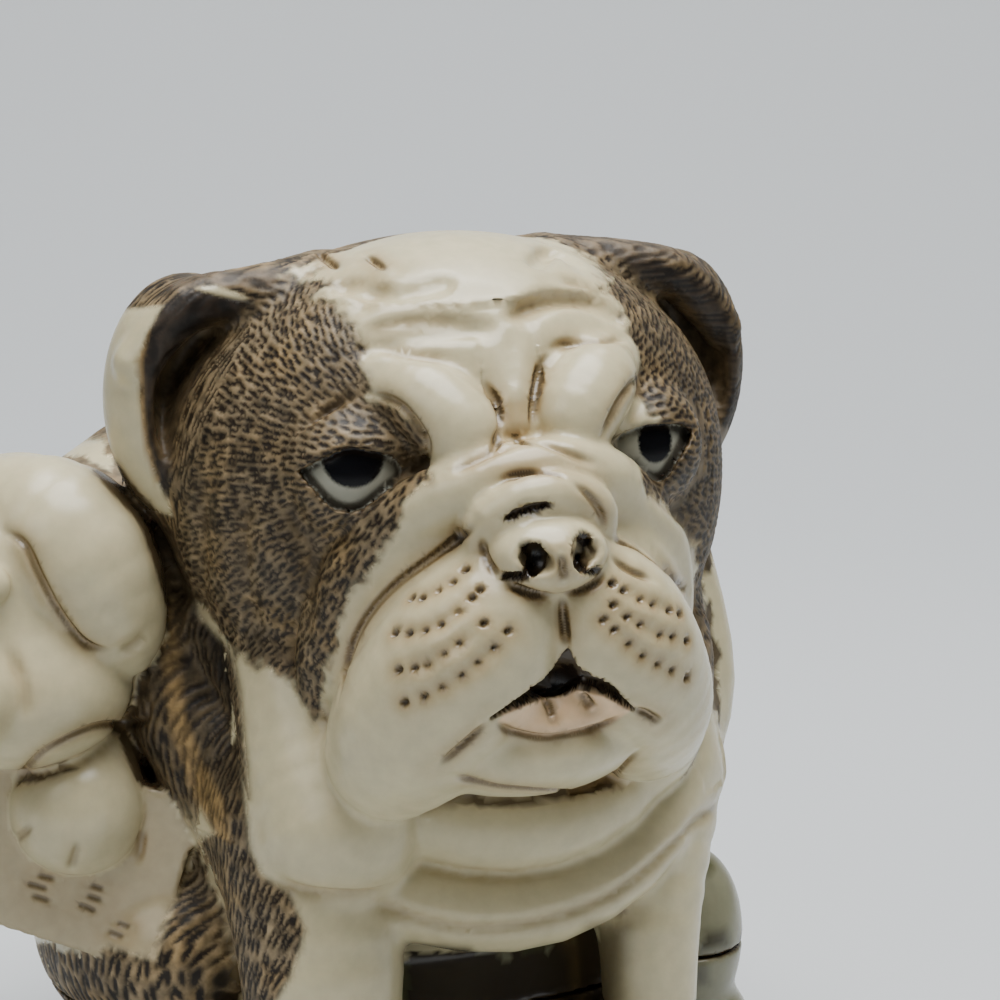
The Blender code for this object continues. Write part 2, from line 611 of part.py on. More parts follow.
def build():
    clear_scene()
    carved = carved_mesh()
    reach = 2 * HEIGHT
    half_width = FOOT_WIDTH / 2 - FOOT_WALL
    half_length = FOOT_LENGTH / 2 - FOOT_WALL
    base_top = SEAM_HEIGHT - SEAM_GAP / 2
    lid_bottom = SEAM_HEIGHT + SEAM_GAP / 2

    base = casting("box_base", carved, resin("stone resin", STONE))
    boolean(base, "INTERSECT", cutter(slab("below seam", 0, base_top, reach)))
    lip_half = (half_width + LIP_WALL, half_length + LIP_WALL)
    lip_levels = [(base_top - LIP_HEIGHT, 1.0), (SEAM_HEIGHT + LIP_HEIGHT, 1.0)]
    boolean(base, "UNION", cutter(oval("lip", *lip_half, lip_levels)))
    hollow_levels = [(FLOOR, 1.0), (SEAM_HEIGHT + 2 * LIP_HEIGHT, 1.0)]
    boolean(base, "DIFFERENCE", cutter(oval("base hollow", half_width, half_length, hollow_levels)))

    lid = casting("dogs_lid", carved, resin("cream resin", CREAM))
    boolean(lid, "INTERSECT", cutter(slab("above seam", lid_bottom, reach, reach)))
    mouth_half = (lip_half[0] + LIP_PLAY, lip_half[1] + LIP_PLAY)
    lid_levels = domed_levels(SEAM_HEIGHT - LIP_HEIGHT, SEAM_HEIGHT + SHOULDER, HEIGHT - CROWN)
    boolean(lid, "DIFFERENCE", cutter(oval("lid hollow", *mouth_half, lid_levels)))


build()
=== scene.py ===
"""The finished look of the bulldog box figurine: fine carving, paint and painted shade in the hollows, and
glossy resin.

The two castings are carved again here, from the same forms as the solids that they stand for, on a
fine grid. Creases, nostrils, whisker pits and dashed fur are then cut into the mesh along the normal.
Lengths in the carving are sculptor's units, about a millimetre each, in a frame whose origin lies on
the table under the middle of the big dog's head: X to the dog's left, Y to its tail, Z up.
"""
import math

import bpy
import numpy as np
from mathutils import Matrix, Vector


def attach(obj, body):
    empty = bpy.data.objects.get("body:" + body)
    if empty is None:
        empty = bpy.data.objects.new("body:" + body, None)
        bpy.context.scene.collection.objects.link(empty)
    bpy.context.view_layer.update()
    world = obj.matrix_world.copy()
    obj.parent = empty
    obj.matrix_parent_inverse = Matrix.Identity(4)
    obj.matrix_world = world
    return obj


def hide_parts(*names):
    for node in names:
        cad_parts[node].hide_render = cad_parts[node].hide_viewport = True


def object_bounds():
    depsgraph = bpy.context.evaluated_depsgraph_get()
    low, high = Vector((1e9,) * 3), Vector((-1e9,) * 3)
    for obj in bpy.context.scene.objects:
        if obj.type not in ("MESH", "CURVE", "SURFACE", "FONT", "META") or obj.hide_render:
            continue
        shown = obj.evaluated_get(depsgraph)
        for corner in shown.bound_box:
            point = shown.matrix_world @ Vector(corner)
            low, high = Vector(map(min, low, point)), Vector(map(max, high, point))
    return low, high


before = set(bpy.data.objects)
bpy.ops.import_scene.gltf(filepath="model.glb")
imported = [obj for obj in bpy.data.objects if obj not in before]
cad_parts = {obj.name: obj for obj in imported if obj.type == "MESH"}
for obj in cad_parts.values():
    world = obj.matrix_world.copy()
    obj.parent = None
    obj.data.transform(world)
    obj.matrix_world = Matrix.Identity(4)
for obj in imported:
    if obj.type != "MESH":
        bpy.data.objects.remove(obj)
cad_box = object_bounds()

REAL = np.float32

# The carving's scale, from the frame: the crown stands this many units above the table
CROWN_UNITS = 70.5
UNIT = cad_box[1][2] / CROWN_UNITS
FOOT_CENTRE = np.array((0.0, 12.0, 0.0), REAL)
HEAD_CENTRE = np.array((0.0, 0.0, 54.0), REAL)
MM = 0.001 / UNIT

# The two castings and the box inside them
SEAM = 12.0 * MM
SEAM_GAP = 0.3 * MM
FLOOR = 4.0 * MM
FOOT_HALF = np.array((27.0, 30.0)) * MM
FOOT_TOP = 13.5 * MM
CAVITY_HALF = np.array((10.5, 13.5)) * MM
CAVITY_SHIFT = np.array((0.0, 3.0)) * MM
CAVITY_TOP = 34.0 * MM
SHOULDER = 5.0 * MM
LIP_HEIGHT = 1.6 * MM
LIP_WALL = 1.5 * MM
LIP_PLAY = 0.3 * MM
CAST_EDGE = 0.25         # rounding of the edges at the seam and the cavity's mouth

# How finely the skin is sampled, and the triangles that each casting keeps
GRID_STEP = 0.4
BLOCK = 4                # grid points along a side of a block
BLOCK_REACH = 1.15       # in blocks: how near to the skin a block is measured point by point
SPLIT_OVER = 1.35        # an edge is halved when it is longer than wanted by this factor
REACH_LOW = (-50.0, -29.0, -3.0)
REACH_HIGH = (31.0, 47.0, 75.0)
KEEP_FINE = 0.95         # how firmly a vertex stays when the skin is thinned
KEEP_SHOWN = 0.5
KEEP_HIDDEN = 0.2
KEEP_INSIDE = 0.06
LID_TRIANGLES = 194000
BASE_TRIANGLES = 60000
NEAR = 4.0               # a form's distance is exact only this near to it
SETTLE_REACH = 0.3       # the most that a vertex moves in a round

# The photograph's view: a pixel at the head's middle covers this many units
VIEW_AZIMUTH = math.radians(-20.0)
VIEW_ELEVATION = math.radians(12.0)
VIEW_DISTANCE = 260.0
PIXEL = 0.074
PHOTO_SIZE = 1000
HEAD_PIXEL = np.array((446.0, 452.0))
SENSOR = 36.0


# Camera geometry, shared by the camera itself and by what is placed by a pixel of the photograph
def view_axes():
    """Unit vectors to the right, up and towards the camera."""
    flat = math.cos(VIEW_ELEVATION)
    x, y, z = math.sin(VIEW_AZIMUTH) * flat, -math.cos(VIEW_AZIMUTH) * flat, math.sin(VIEW_ELEVATION)
    towards = np.array((x, y, z))
    right = np.array((math.cos(VIEW_AZIMUTH), math.sin(VIEW_AZIMUTH), 0.0))
    return right, np.cross(towards, right), towards


RIGHT, UP, TOWARDS = view_axes()
HEAD_OFFSET = (HEAD_PIXEL - PHOTO_SIZE / 2) * PIXEL
TARGET = HEAD_CENTRE - RIGHT * HEAD_OFFSET[0] + UP * HEAD_OFFSET[1]
EYE_POINT = TARGET + TOWARDS * VIEW_DISTANCE
HALF_VIEW = PHOTO_SIZE / 2 * PIXEL / VIEW_DISTANCE


def to_pixels(points):
    """Where points land in the photograph."""
    local = points - EYE_POINT
    depth = -(local @ TOWARDS)
    half = PHOTO_SIZE / 2
    across = half + (local @ RIGHT) / depth / HALF_VIEW * half
    down = half - (local @ UP) / depth / HALF_VIEW * half
    return np.stack([across, down], -1)


def sight_lines(pixels):
    """Unit vectors from the camera through pixels of the photograph."""
    share = (np.asarray(pixels, float) - PHOTO_SIZE / 2) / (PHOTO_SIZE / 2) * HALF_VIEW
    lines = -TOWARDS + share[:, :1] * RIGHT - share[:, 1:] * UP
    return lines / np.linalg.norm(lines, axis=1)[:, None]


# Forms
def length(rows):
    return np.sqrt(np.einsum("...k,...k->...", rows, rows))


def largest(rows):
    """The largest of each row's three numbers."""
    return np.maximum(np.maximum(rows[:, 0], rows[:, 1]), rows[:, 2])


def smooth_union(a, b, blend):
    """Two distances joined, with a soft fillet of the given size."""
    share = np.clip(0.5 + 0.5 * (b - a) / blend, 0, 1)
    return b + (a - b) * share - blend * share * (1 - share)


def smooth_cut(a, b, blend):
    """The part of a that is inside b, with a soft edge."""
    return -smooth_union(-a, -b, blend)


def smooth_curve(rows, steps=4):
    """Points on a smooth curve through the rows; a radius in a row is carried along."""
    rows = np.asarray(rows, float)
    guides = np.vstack([2 * rows[0] - rows[1], rows, 2 * rows[-1] - rows[-2]])
    points = []
    for before, start, end, after in zip(guides, guides[1:], guides[2:], guides[3:]):
        bend = 2 * before - 5 * start + 4 * end - after
        twist = 3 * start - before - 3 * end + after
        for t in np.arange(steps) / steps:
            points.append(0.5 * (2 * start + (end - before) * t + bend * t * t + twist * t ** 3))
    points.append(rows[-1])
    return np.array(points, REAL)


def inside_outline(places, outline):
    """Which places in a plane lie inside a closed outline."""
    inside = np.zeros(len(places), bool)
    x, y = places.T
    for (x0, y0), (x1, y1) in zip(outline, np.roll(outline, -1, 0)):
        if y0 != y1:
            inside ^= ((y0 > y) != (y1 > y)) & (x < x0 + (y - y0) / (y1 - y0) * (x1 - x0))
    return inside


def line_distance(places, line):
    """How far places in a plane are from a row of points joined by straight runs."""
    best = np.full(len(places), 1e3)
    for start, end in zip(line, line[1:]):
        run = end - start
        local = places - start
        share = np.clip(local @ run / max(run @ run, 1e-9), 0, 1)
        best = np.minimum(best, length(local - share[:, None] * run))
    return best


def outline_distance(places, outline):
    """The same for a closed outline, less than nothing inside it."""
    closed = np.vstack([outline, outline[:1]])
    distance = line_distance(places, closed)
    return np.where(inside_outline(places, outline), -distance, distance)


def closed_curve(pixels, steps=3):
    """A smooth closed outline through the pixels."""
    rows = [(x, y, 0) for x, y in pixels]
    around = smooth_curve([rows[-1], *rows, rows[0], rows[1]], steps)
    return around[steps:-steps - 1, :2]


class Shape:
    """A form; calling it gives the distance from points to its skin, exact only near it."""

    def __call__(self, points):
        outside = largest(np.maximum(self.low - points, points - self.high))
        distance = np.maximum(outside, 0)
        near = np.flatnonzero(outside < NEAR)
        if len(near):
            distance[near] = self.measure(points[near])
        return distance


def leaning(angle):
    """The turn about the Y axis by an angle."""
    cos, sin = math.cos(angle), math.sin(angle)
    return np.array(((cos, 0, sin), (0, 1, 0), (-sin, 0, cos)), REAL)


class Ball(Shape):
    """An egg shape, turned about the Y axis by lean degrees."""

    def __init__(self, centre, radii, lean=0.0):
        self.centre = np.array(centre, REAL)
        self.radii = np.array(radii, REAL)
        self.turn = leaning(math.radians(lean))
        half = length(self.turn * self.radii)
        self.low = self.centre - half
        self.high = self.centre + half

    def measure(self, points):
        local = (points - self.centre) @ self.turn
        share = length(local / self.radii)
        slope = length(local / self.radii ** 2)
        return share * (share - 1) / np.maximum(slope, 1e-6)


class Fold(Shape):
    """A roll of skin or a limb: rows of x, y, z and radius, on a smooth curve."""

    def __init__(self, *rows):
        self.follow(smooth_curve(rows))

    def follow(self, path):
        self.path = path
        half = path[:, 3].max()
        self.low = path[:, :3].min(0) - half
        self.high = path[:, :3].max(0) + half

    def measure(self, points):
        distance = np.full(len(points), 99, REAL)
        for start, end in zip(self.path, self.path[1:]):
            run = end[:3] - start[:3]
            local = points - start[:3]
            share = np.clip(local @ run / (run @ run), 0, 1)
            radius = start[3] + share * (end[3] - start[3])
            distance = np.minimum(distance, length(local - share[:, None] * run) - radius)
        return distance


def joined(points, shapes, blend):
    distance = shapes[0](points)
    for shape in shapes[1:]:
        distance = smooth_union(distance, shape(points), blend)
    return distance


def with_groups(distance, points, groups):
    """Adds groups of forms in turn: the shapes, the blend between them, the blend to what is there."""
    for shapes, between, around in groups:
        distance = smooth_union(distance, joined(points, shapes, between), around)
    return distance


# The big dog's head, measured from its centre
SKULL = [
    Ball((0, 2.5, 2.5), (20, 15.5, 13.3)),
    Ball((-11.3, 0.5, -2.8), (9.6, 11.5, 11.6)),
    Ball((11.5, 0.5, -3.5), (9.6, 11.5, 12.5)),
    Ball((0, -4, 5), (14, 9.5, 10.5)),
]
JOWLS = [
    Fold((-13.2, -1.4, -10, 4.2), (-12.7, -5.2, -18, 5.0), (-11.4, -8.6, -24.8, 6.2)),
    Fold((14.5, -1, -10, 4.5), (14.2, -4.5, -16, 5.2), (12.2, -7.5, -20.4, 5.0)),
]
CHIN = Ball((0.4, -12.6, -17.6), (9.6, 9.6, 4.6))
LOWER_LIP = Ball((0.3, -17.4, -15.0), (5.4, 5.2, 3.0))
FLEWS = [
    Fold(
        (-2.3, -18.2, -6.8, 5), (-4.8, -18.2, -10.5, 6.2), (-7.6, -15.8, -15.5, 6),
        (-8.9, -14, -18.4, 4.8),
    ),
    Fold(
        (2.9, -18.2, -6.6, 5), (5.5, -18, -10.2, 6.2), (8.6, -15.4, -14.8, 5.9),
        (10.2, -13.6, -17.6, 4.8),
    ),
]
MUZZLE_CORE = [
    Ball((0.4, -11.5, -9), (9.5, 7.5, 9)),
    Ball((0.3, -7.6, -14), (13, 5, 4.4)),
    Ball((0.3, -15.6, 0.4), (6.2, 3.4, 3.4)),
]
MUZZLE_ROOTS = [
    Fold((-4.0, -15.5, -2.2, 2.6), (-6.8, -14.6, -5.0, 3), (-9.0, -13.0, -8.6, 3), (-10.4, -11, -13, 3)),
    Fold((4.4, -15.5, -2.2, 2.6), (7.8, -14.6, -5.0, 3), (10.4, -13.0, -8.6, 3), (11.4, -11, -13, 3)),
]
NOSE_ROLL = Fold(
    (-11.6, -8.6, -18.5, 1.2), (-12.5, -9.4, -12.5, 2.1), (-11.2, -11.6, -6.6, 2.5),
    (-8.4, -14.2, -2.2, 2.5), (-4.6, -17, 0.9, 2.4), (0, -17.9, 1.9, 2.3), (4.8, -17, 1.2, 2.4),
    (8.8, -14.2, -1.8, 2.5), (12, -11.6, -6, 2.5), (13.6, -9.4, -12, 2.1), (13.2, -8.8, -16.5, 1.2),
)
NOSE_HOOD = Fold(
    (-3.9, -19, -3.2, 1.5), (-3.5, -19.8, -0.6, 1.7), (0, -20.6, 0.8, 1.7), (3.7, -19.8, -0.4, 1.7),
    (4.3, -19, -3, 1.5),
)
NOSE = Ball((0, -20.8, -3.2), (4.4, 4.0, 2.9))
NOSTRILS = [Ball((-1.9, -24.4, -2.9), (1.3, 1.9, 0.9), 20), Ball((1.9, -24.4, -2.8), (1.3, 1.9, 0.9), -20)]
BROWS = [
    Fold((-8, -10.6, 7.4, 1.9), (-6, -12.6, 6.4, 2.9), (-4.2, -14.4, 4.6, 3), (-3.6, -15, 3.4, 2.4)),
    Fold((8.6, -10.6, 8, 1.9), (6.6, -12.8, 6.9, 3.1), (4.6, -14.4, 5.2, 3.2), (4, -15, 4, 2.4)),
]
FROWN = Fold((0.3, -9.5, 11, 2), (0.2, -12.8, 7.5, 1.8), (0, -14.6, 4.6, 1.5))
EAR_BOWLS = [Ball((-18.6, 2.6, 4.4), (6.5, 5.2, 9.6), -4), Ball((18.7, 3.0, 4.6), (6.1, 5.2, 9.3), 4)]
EAR_HOLLOWS = [Ball((-17.6, -3.0, 4.0), (5.0, 7.0, 8.2), -4), Ball((18.0, -2.6, 4.4), (4.7, 7.0, 8.2), 4)]
EAR_RIMS = [
    Fold((-9.5, 1.5, 12.6, 2.6), (-14.5, 0.2, 12.6, 2.0), (-19.6, 0, 11.8, 1.9), (-23.3, 0.4, 8, 1.6)),
    Fold((8.5, 1.5, 13.2, 2.5), (14.2, 0.8, 13.2, 1.9), (18.6, 0.6, 12.1, 1.8), (22.3, 0.8, 8, 1.5)),
]

FACE = [
    (JOWLS, 2.0, 1.5), ([CHIN], 0, 1.5), ([LOWER_LIP], 0, 0.5), (MUZZLE_CORE, 0.8, 1.0),
    (MUZZLE_ROOTS, 0.8, 1.0), (FLEWS, 0.8, 0.8), ([NOSE_ROLL], 0, 0.8), (BROWS, 0.6, 0.8),
    ([FROWN], 0, 0.8), ([NOSE_HOOD], 0, 0.5), ([NOSE], 0, 0.5),
]

FURROW_DEPTH = 0.35
FURROW_RADIUS = 0.55
FOREHEAD_FURROWS = [
    [(-9.4, 10.2), (-6.8, 10.9), (-4.0, 11.2), (-1.2, 11.2)],
    [(1.6, 12.0), (4.4, 12.8), (7.2, 12.4), (9.6, 11.2)],
    [(-9.6, 13.8), (-6.4, 13.6), (-3.4, 14.2)],
    [(4.4, 15.0), (7.6, 15.0), (10.4, 14.2)],
]

# The eyes and their lids
EYE_RADIUS = 4.3
SOCKET_RADIUS = EYE_RADIUS - 0.1
EYES = [np.array((-10.6, -9.4, 1.3), REAL), np.array((10.9, -9.4, 1.6), REAL)]
LID_THICKNESS = 0.9
EYE_OPENINGS = [
    closed_curve([
        (300, 472), (305, 468), (328, 456), (351, 448), (382, 453), (408, 461), (426, 469), (419, 477),
        (400, 487), (382, 499), (364, 509), (346, 512), (329, 505), (314, 490),
    ]),
    closed_curve([
        (600, 442), (612, 436), (630, 429), (648, 425), (672, 424), (690, 431), (686, 446), (677, 462),
        (668, 476), (656, 484), (643, 484), (620, 471), (606, 454),
    ]),
]
PUPILS = [((353, 458), (31, 30)), ((655, 441), (17, 22))]

# The big dog's body, and the ground, measured from the table under the middle of its head
TRUNK = [
    Ball((1, 1.5, 30), (19.4, 12, 11.5)),
    Ball((0, 8, 29), (21, 15, 17)),
    Ball((-4, 20, 31), (20, 18, 18)),
    Ball((0, 10, 44), (17, 14, 12)),
]
HAUNCHES = [
    Ball((-17, 24, 19), (10, 13, 13)),
    Ball((-19, 12, 16), (10, 14, 9.5)),
    Ball((17, 22, 19), (9, 13, 13)),
]
FORELEGS = [
    Fold((-12, -4, 28, 7.5), (-12.5, -8, 18, 6), (-12.5, -9, 8, 5.4), (-12.5, -11, 3.4, 5.2)),
    Fold((14.8, -2, 28, 6.4), (13.8, -6.5, 18, 4.0), (13.6, -7.8, 8, 3.6), (13.8, -9.6, 3.4, 4.6)),
]
TOE_SPACING = 3.1
TOE_RADIUS = 2.1
CHEST_FOLDS = [
    Fold((-17, 3, 42, 3), (-10, -6, 32, 3.6), (1, -10.5, 28.5, 3.8), (11, -8, 31, 3.6), (18.6, 2, 40, 3)),
    Fold((-20, 5, 38, 3), (-12, -6, 26, 3.2), (1, -11, 22, 3.2), (13, -8, 26, 3.2), (20, 3, 36, 3)),
]
RUFF = [
    Fold((-19, 9, 52, 2.6), (-20.5, 7, 44, 3.4), (-19.5, 3, 34, 3.6), (-15, 0, 26, 3)),
    Fold((19, 9, 52, 2.6), (20.5, 7, 44, 3.4), (21, 3, 34, 3.6), (18, 0, 26, 3)),
    Ball((-20.5, 8, 35), (5, 5, 4.5)),
]
TAIL = Fold((3, 37, 27, 3.0), (7, 40, 24, 2.6), (11, 39.5, 22, 2.0))

# The small dog that lies over the big one's back, with one paw on a card
SMALL_HEAD = [
    Ball((-30.0, 10, 43.5), (9.0, 9.5, 10.5)),
    Ball((-36.0, 8, 45.0), (8.0, 8.5, 8.5)),
    Ball((-31.5, 4.5, 38.0), (8.4, 7.0, 6.2)),
]
SMALL_MUZZLE = [Ball((-37.6, 0.8, 38.6), (5.2, 5.0, 4.6)), Ball((-41.2, 4.0, 38.8), (4.6, 4.8, 4.4))]
SMALL_NOSE = Ball((-41.3, -1.4, 42.4), (2.3, 2.2, 1.7))
SMALL_EYES = [Ball((-34.8, 0.4, 46.6), (2.0, 2.0, 1.8)), Ball((-43.2, 6.0, 46.8), (2.0, 2.0, 1.8))]
SMALL_EARS = [
    Fold((-33, 9, 50.8, 3.4), (-28.0, 4.6, 48.2, 6.0), (-25.4, 3.0, 43.6, 4.6), (-24.0, 2.0, 40.6, 2.0)),
    Fold(
        (-37, 14, 51.0, 2.8), (-41.0, 13.5, 47.8, 3.8), (-42.6, 12.4, 43.0, 2.6),
        (-42.8, 11.5, 40.4, 1.4),
    ),
]
SMALL_BODY = Fold((-25, 15, 42, 8.5), (-13, 22, 46, 9.4), (2, 26, 46.5, 9.6), (11, 27, 42, 8.6))
SMALL_FORELEG = Fold((-27, 12, 36, 5), (-27, 8, 31.5, 5.4), (-27.4, 4.4, 28.4, 5.2))
SMALL_HIND_LEGS = [
    Fold((12, 24, 41, 7.0), (19, 20, 36.5, 5.6), (20.5, 15.5, 32.5, 3.6), (20.5, 11, 31, 3.0)),
    Fold((9, 33, 40, 6.6), (15, 35, 35, 5.2), (17.5, 33, 30.5, 3.4), (18.5, 29, 28.5, 2.8)),
]
SMALL_TAIL = Fold((17, 31, 45, 2.4), (20.5, 31, 43, 1.8))
SMALL_TOE_GAPS = [
    Fold((-29.6, -0.6, 31.2, 0.5), (-29.6, -1.4, 28.0, 0.5), (-29.6, -0.4, 24.6, 0.5)),
    Fold((-25.6, -0.8, 31.2, 0.5), (-25.6, -1.4, 28.0, 0.5), (-25.6, -0.4, 24.6, 0.5)),
]
SMALL_GROUPS = [
    ([SMALL_BODY], 0, 3.0), (SMALL_HIND_LEGS, 1.0, 2.0), ([SMALL_TAIL], 0, 1.0), (SMALL_MUZZLE, 0.6, 0.8),
    ([SMALL_NOSE, *SMALL_EYES], 0.3, 0.3), (SMALL_EARS, 0.6, 0.5), ([SMALL_FORELEG], 0, 0.6),
]
CARD_CENTRE = np.array((-28.4, 4.4, 25.0), REAL)
CARD_HALF = np.array((8.5, 0.9, 6.6), REAL)
CARD_TURN = math.radians(-18)      # about the upright, towards the flank
CARD_TILT = math.radians(19)       # in its own plane, lower on the side of the big dog

# The rocks of the foot: humps on an oval plateau
ROCK_COUNT = 11
ROCK_RADIUS = 4.2
BANK_CENTRE = (3, 16, 12)
BANK_INSET = (4, 10)       # in from the plateau's side and from its end
BANK_HEIGHT = 13
OUTCROP = Ball((-5.6, 6, 11), (5, 6, 8.4), 12)    # from the plateau's left side


def laid_on_skull(rows):
    """A furrow along rows of x and z on the front of the skull, half sunk in the skin."""
    depths = np.arange(-20, 5, 0.1)
    path = []
    for x, z in rows:
        line = np.stack([np.full(len(depths), x), depths, np.full(len(depths), z)], 1).astype(REAL)
        skin = depths[np.argmax(joined(line, SKULL, 5.0) < 0)]
        path.append((x, skin - FURROW_RADIUS + FURROW_DEPTH, z, FURROW_RADIUS))
    return Fold(*path)


FURROWS = [laid_on_skull(rows) for rows in FOREHEAD_FURROWS]


def eyelids(head_points):
    """Shells over the eyeballs, open inside the outlines that the photograph shows."""
    distance = np.full(len(head_points), NEAR, REAL)
    for centre, opening in zip(EYES, EYE_OPENINGS):
        local = head_points - centre
        radius = length(local)
        near = np.flatnonzero((radius < EYE_RADIUS + LID_THICKNESS + 2) & (local[:, 1] < 2))
        if not len(near):
            continue
        pixels = to_pixels(head_points[near] + HEAD_CENTRE)
        outside = outline_distance(pixels, opening) * PIXEL
        shell = smooth_cut(radius[near] - EYE_RADIUS - LID_THICKNESS, -outside, 0.4)
        distance[near] = np.minimum(distance[near], shell)
    return distance


def big_head(points):
    """The big dog's head, with its eyes, muzzle, brow and ears."""
    head_points = points - HEAD_CENTRE
    distance = joined(head_points, SKULL, 5.0)
    for furrow in FURROWS:
        distance = smooth_cut(distance, -furrow(head_points), 1.0)
    for centre in EYES:
        distance = smooth_cut(distance, SOCKET_RADIUS - length(head_points - centre), 1.2)
    distance = with_groups(distance, head_points, FACE)
    for nostril in NOSTRILS:
        distance = smooth_cut(distance, -nostril(head_points), 0.5)
    distance = smooth_union(distance, eyelids(head_points), 0.7)
    for bowl, hollow, rim in zip(EAR_BOWLS, EAR_HOLLOWS, EAR_RIMS):
        ear = smooth_cut(bowl(head_points), -hollow(head_points), 0.8)
        ear = smooth_union(ear, rim(head_points), 0.8)
        distance = smooth_union(distance, ear, 1.5)
    for centre in EYES:
        distance = np.minimum(distance, length(head_points - centre) - EYE_RADIUS)
    return distance


def paw_toes():
    """Four toes in front of each foreleg."""
    toes = []
    for leg in FORELEGS:
        x, y, z, radius = leg.path[-1]
        for place in (-1.5, -0.5, 0.5, 1.5):
            forward = y - radius + 0.5 * abs(place)
            across = x + place * TOE_SPACING * 0.9
            knuckle = (across, forward + 3, TOE_RADIUS + 1.6, TOE_RADIUS)
            tip = (across, forward - 0.8, TOE_RADIUS, TOE_RADIUS)
            toes.append(Fold(knuckle, tip))
    return toes


BODY_GROUPS = [
    (HAUNCHES, 2.0, 2.5), (FORELEGS, 1.0, 3.0), (paw_toes(), 0.4, 0.5), (CHEST_FOLDS, 0.8, 1.0),
    ([TAIL], 0, 1.5), (RUFF, 0.8, 1.2),
]


def big_body(points):
    """Trunk, haunches, legs and the rolls of skin round the neck and chest."""
    return with_groups(joined(points, TRUNK, 6.0), points, BODY_GROUPS)


def card(points):
    """The flat card under the small dog's paw."""
    cos, sin = math.cos(CARD_TURN), math.sin(CARD_TURN)
    turn = np.array(((cos, -sin, 0), (sin, cos, 0), (0, 0, 1)), REAL)
    over = np.abs((points - CARD_CENTRE) @ turn @ leaning(CARD_TILT)) - CARD_HALF
    return length(np.maximum(over, 0)) + np.minimum(largest(over), 0) - 0.2


def small_dog(points):
    """The small dog across the back, its paw on the card."""
    distance = with_groups(joined(points, SMALL_HEAD, 2.5), points, SMALL_GROUPS)
    for toe_gap in SMALL_TOE_GAPS:
        distance = smooth_cut(distance, -toe_gap(points), 0.8)
    return smooth_union(distance, card(points), 0.4)


def foot(points):
    """An oval plateau with rocks round its edge."""
    half_width, half_length = FOOT_HALF
    plateau = Ball(FOOT_CENTRE, (half_width, half_length, FOOT_TOP))
    bank_size = (half_width - BANK_INSET[0], half_length - BANK_INSET[1], BANK_HEIGHT)
    distance = smooth_union(plateau(points), Ball(BANK_CENTRE, bank_size)(points), 4.0)
    outcrop_points = points - np.array((half_width, 0, 0), points.dtype)
    distance = smooth_union(distance, OUTCROP(outcrop_points), 0.8)
    for index in range(ROCK_COUNT):
        angle = 2 * math.pi * (index + 0.5) / ROCK_COUNT
        size = ROCK_RADIUS * (1 + 0.22 * math.sin(5.0 * index))
        place = FOOT_CENTRE + (
            (half_width - size) * math.cos(angle),
            (half_length - size) * math.sin(angle),
            FOOT_TOP * (0.42 + 0.18 * math.cos(3.0 * index)),
        )
        rock = Ball(place, (size * 1.25, size * 1.15, size * 0.95), 25 * math.sin(2.0 * index))
        distance = smooth_union(distance, rock(points), 0.8)
    return distance


def figure(points):
    """The whole carving as one solid, before it is parted at the seam."""
    distance = smooth_union(big_body(points), foot(points), 1.0)
    distance = smooth_union(distance, big_head(points), 0.8)
    distance = smooth_union(distance, small_dog(points), 0.6)
    return np.maximum(distance, -points[:, 2])


# The two castings: the figure parted at the seam and hollowed
def in_ovals(points, half):
    """Where points lie in plan, in half widths of the cavity's oval from its centre."""
    return (points[..., :2] - FOOT_CENTRE[:2] - CAVITY_SHIFT) / half


def oval_plan(points, half):
    """Distance to an upright oval wall of the cavity."""
    local = in_ovals(points, half)
    share = length(local)
    slope = length(local / half)
    return share * (share - 1) / np.maximum(slope, 1e-4)


def lid_casting(points, whole):
    """The dogs, above the seam, with a domed hollow; whole is the figure's own distance."""
    z = points[..., 2]
    mouth = CAVITY_HALF + LIP_WALL + LIP_PLAY
    spring = SEAM + SHOULDER
    rise = CAVITY_TOP - spring
    plan = in_ovals(points, mouth)
    share = np.sqrt(plan[..., 0] ** 2 + plan[..., 1] ** 2 + (np.maximum(z - spring, 0) / rise) ** 2)
    dome = (share - 1) * min(mouth.min(), rise)
    hollow = np.where(z > spring, dome, oval_plan(points, mouth))
    distance = smooth_cut(whole, SEAM + SEAM_GAP / 2 - z, CAST_EDGE)
    return smooth_cut(distance, -hollow, CAST_EDGE)


def base_casting(points, whole):
    """The foot and paws, below the seam, with the lip standing round its hollow."""
    z = points[..., 2]
    body = smooth_cut(whole, z - SEAM + SEAM_GAP / 2, CAST_EDGE)
    lip_band = np.maximum(z - SEAM - LIP_HEIGHT, SEAM - 3 * LIP_HEIGHT - z)
    lip = smooth_cut(oval_plan(points, CAVITY_HALF + LIP_WALL), lip_band, CAST_EDGE)
    body = smooth_union(body, lip, 0.15)
    hollow = np.maximum(oval_plan(points, CAVITY_HALF), FLOOR - z)
    return smooth_cut(body, -hollow, CAST_EDGE)


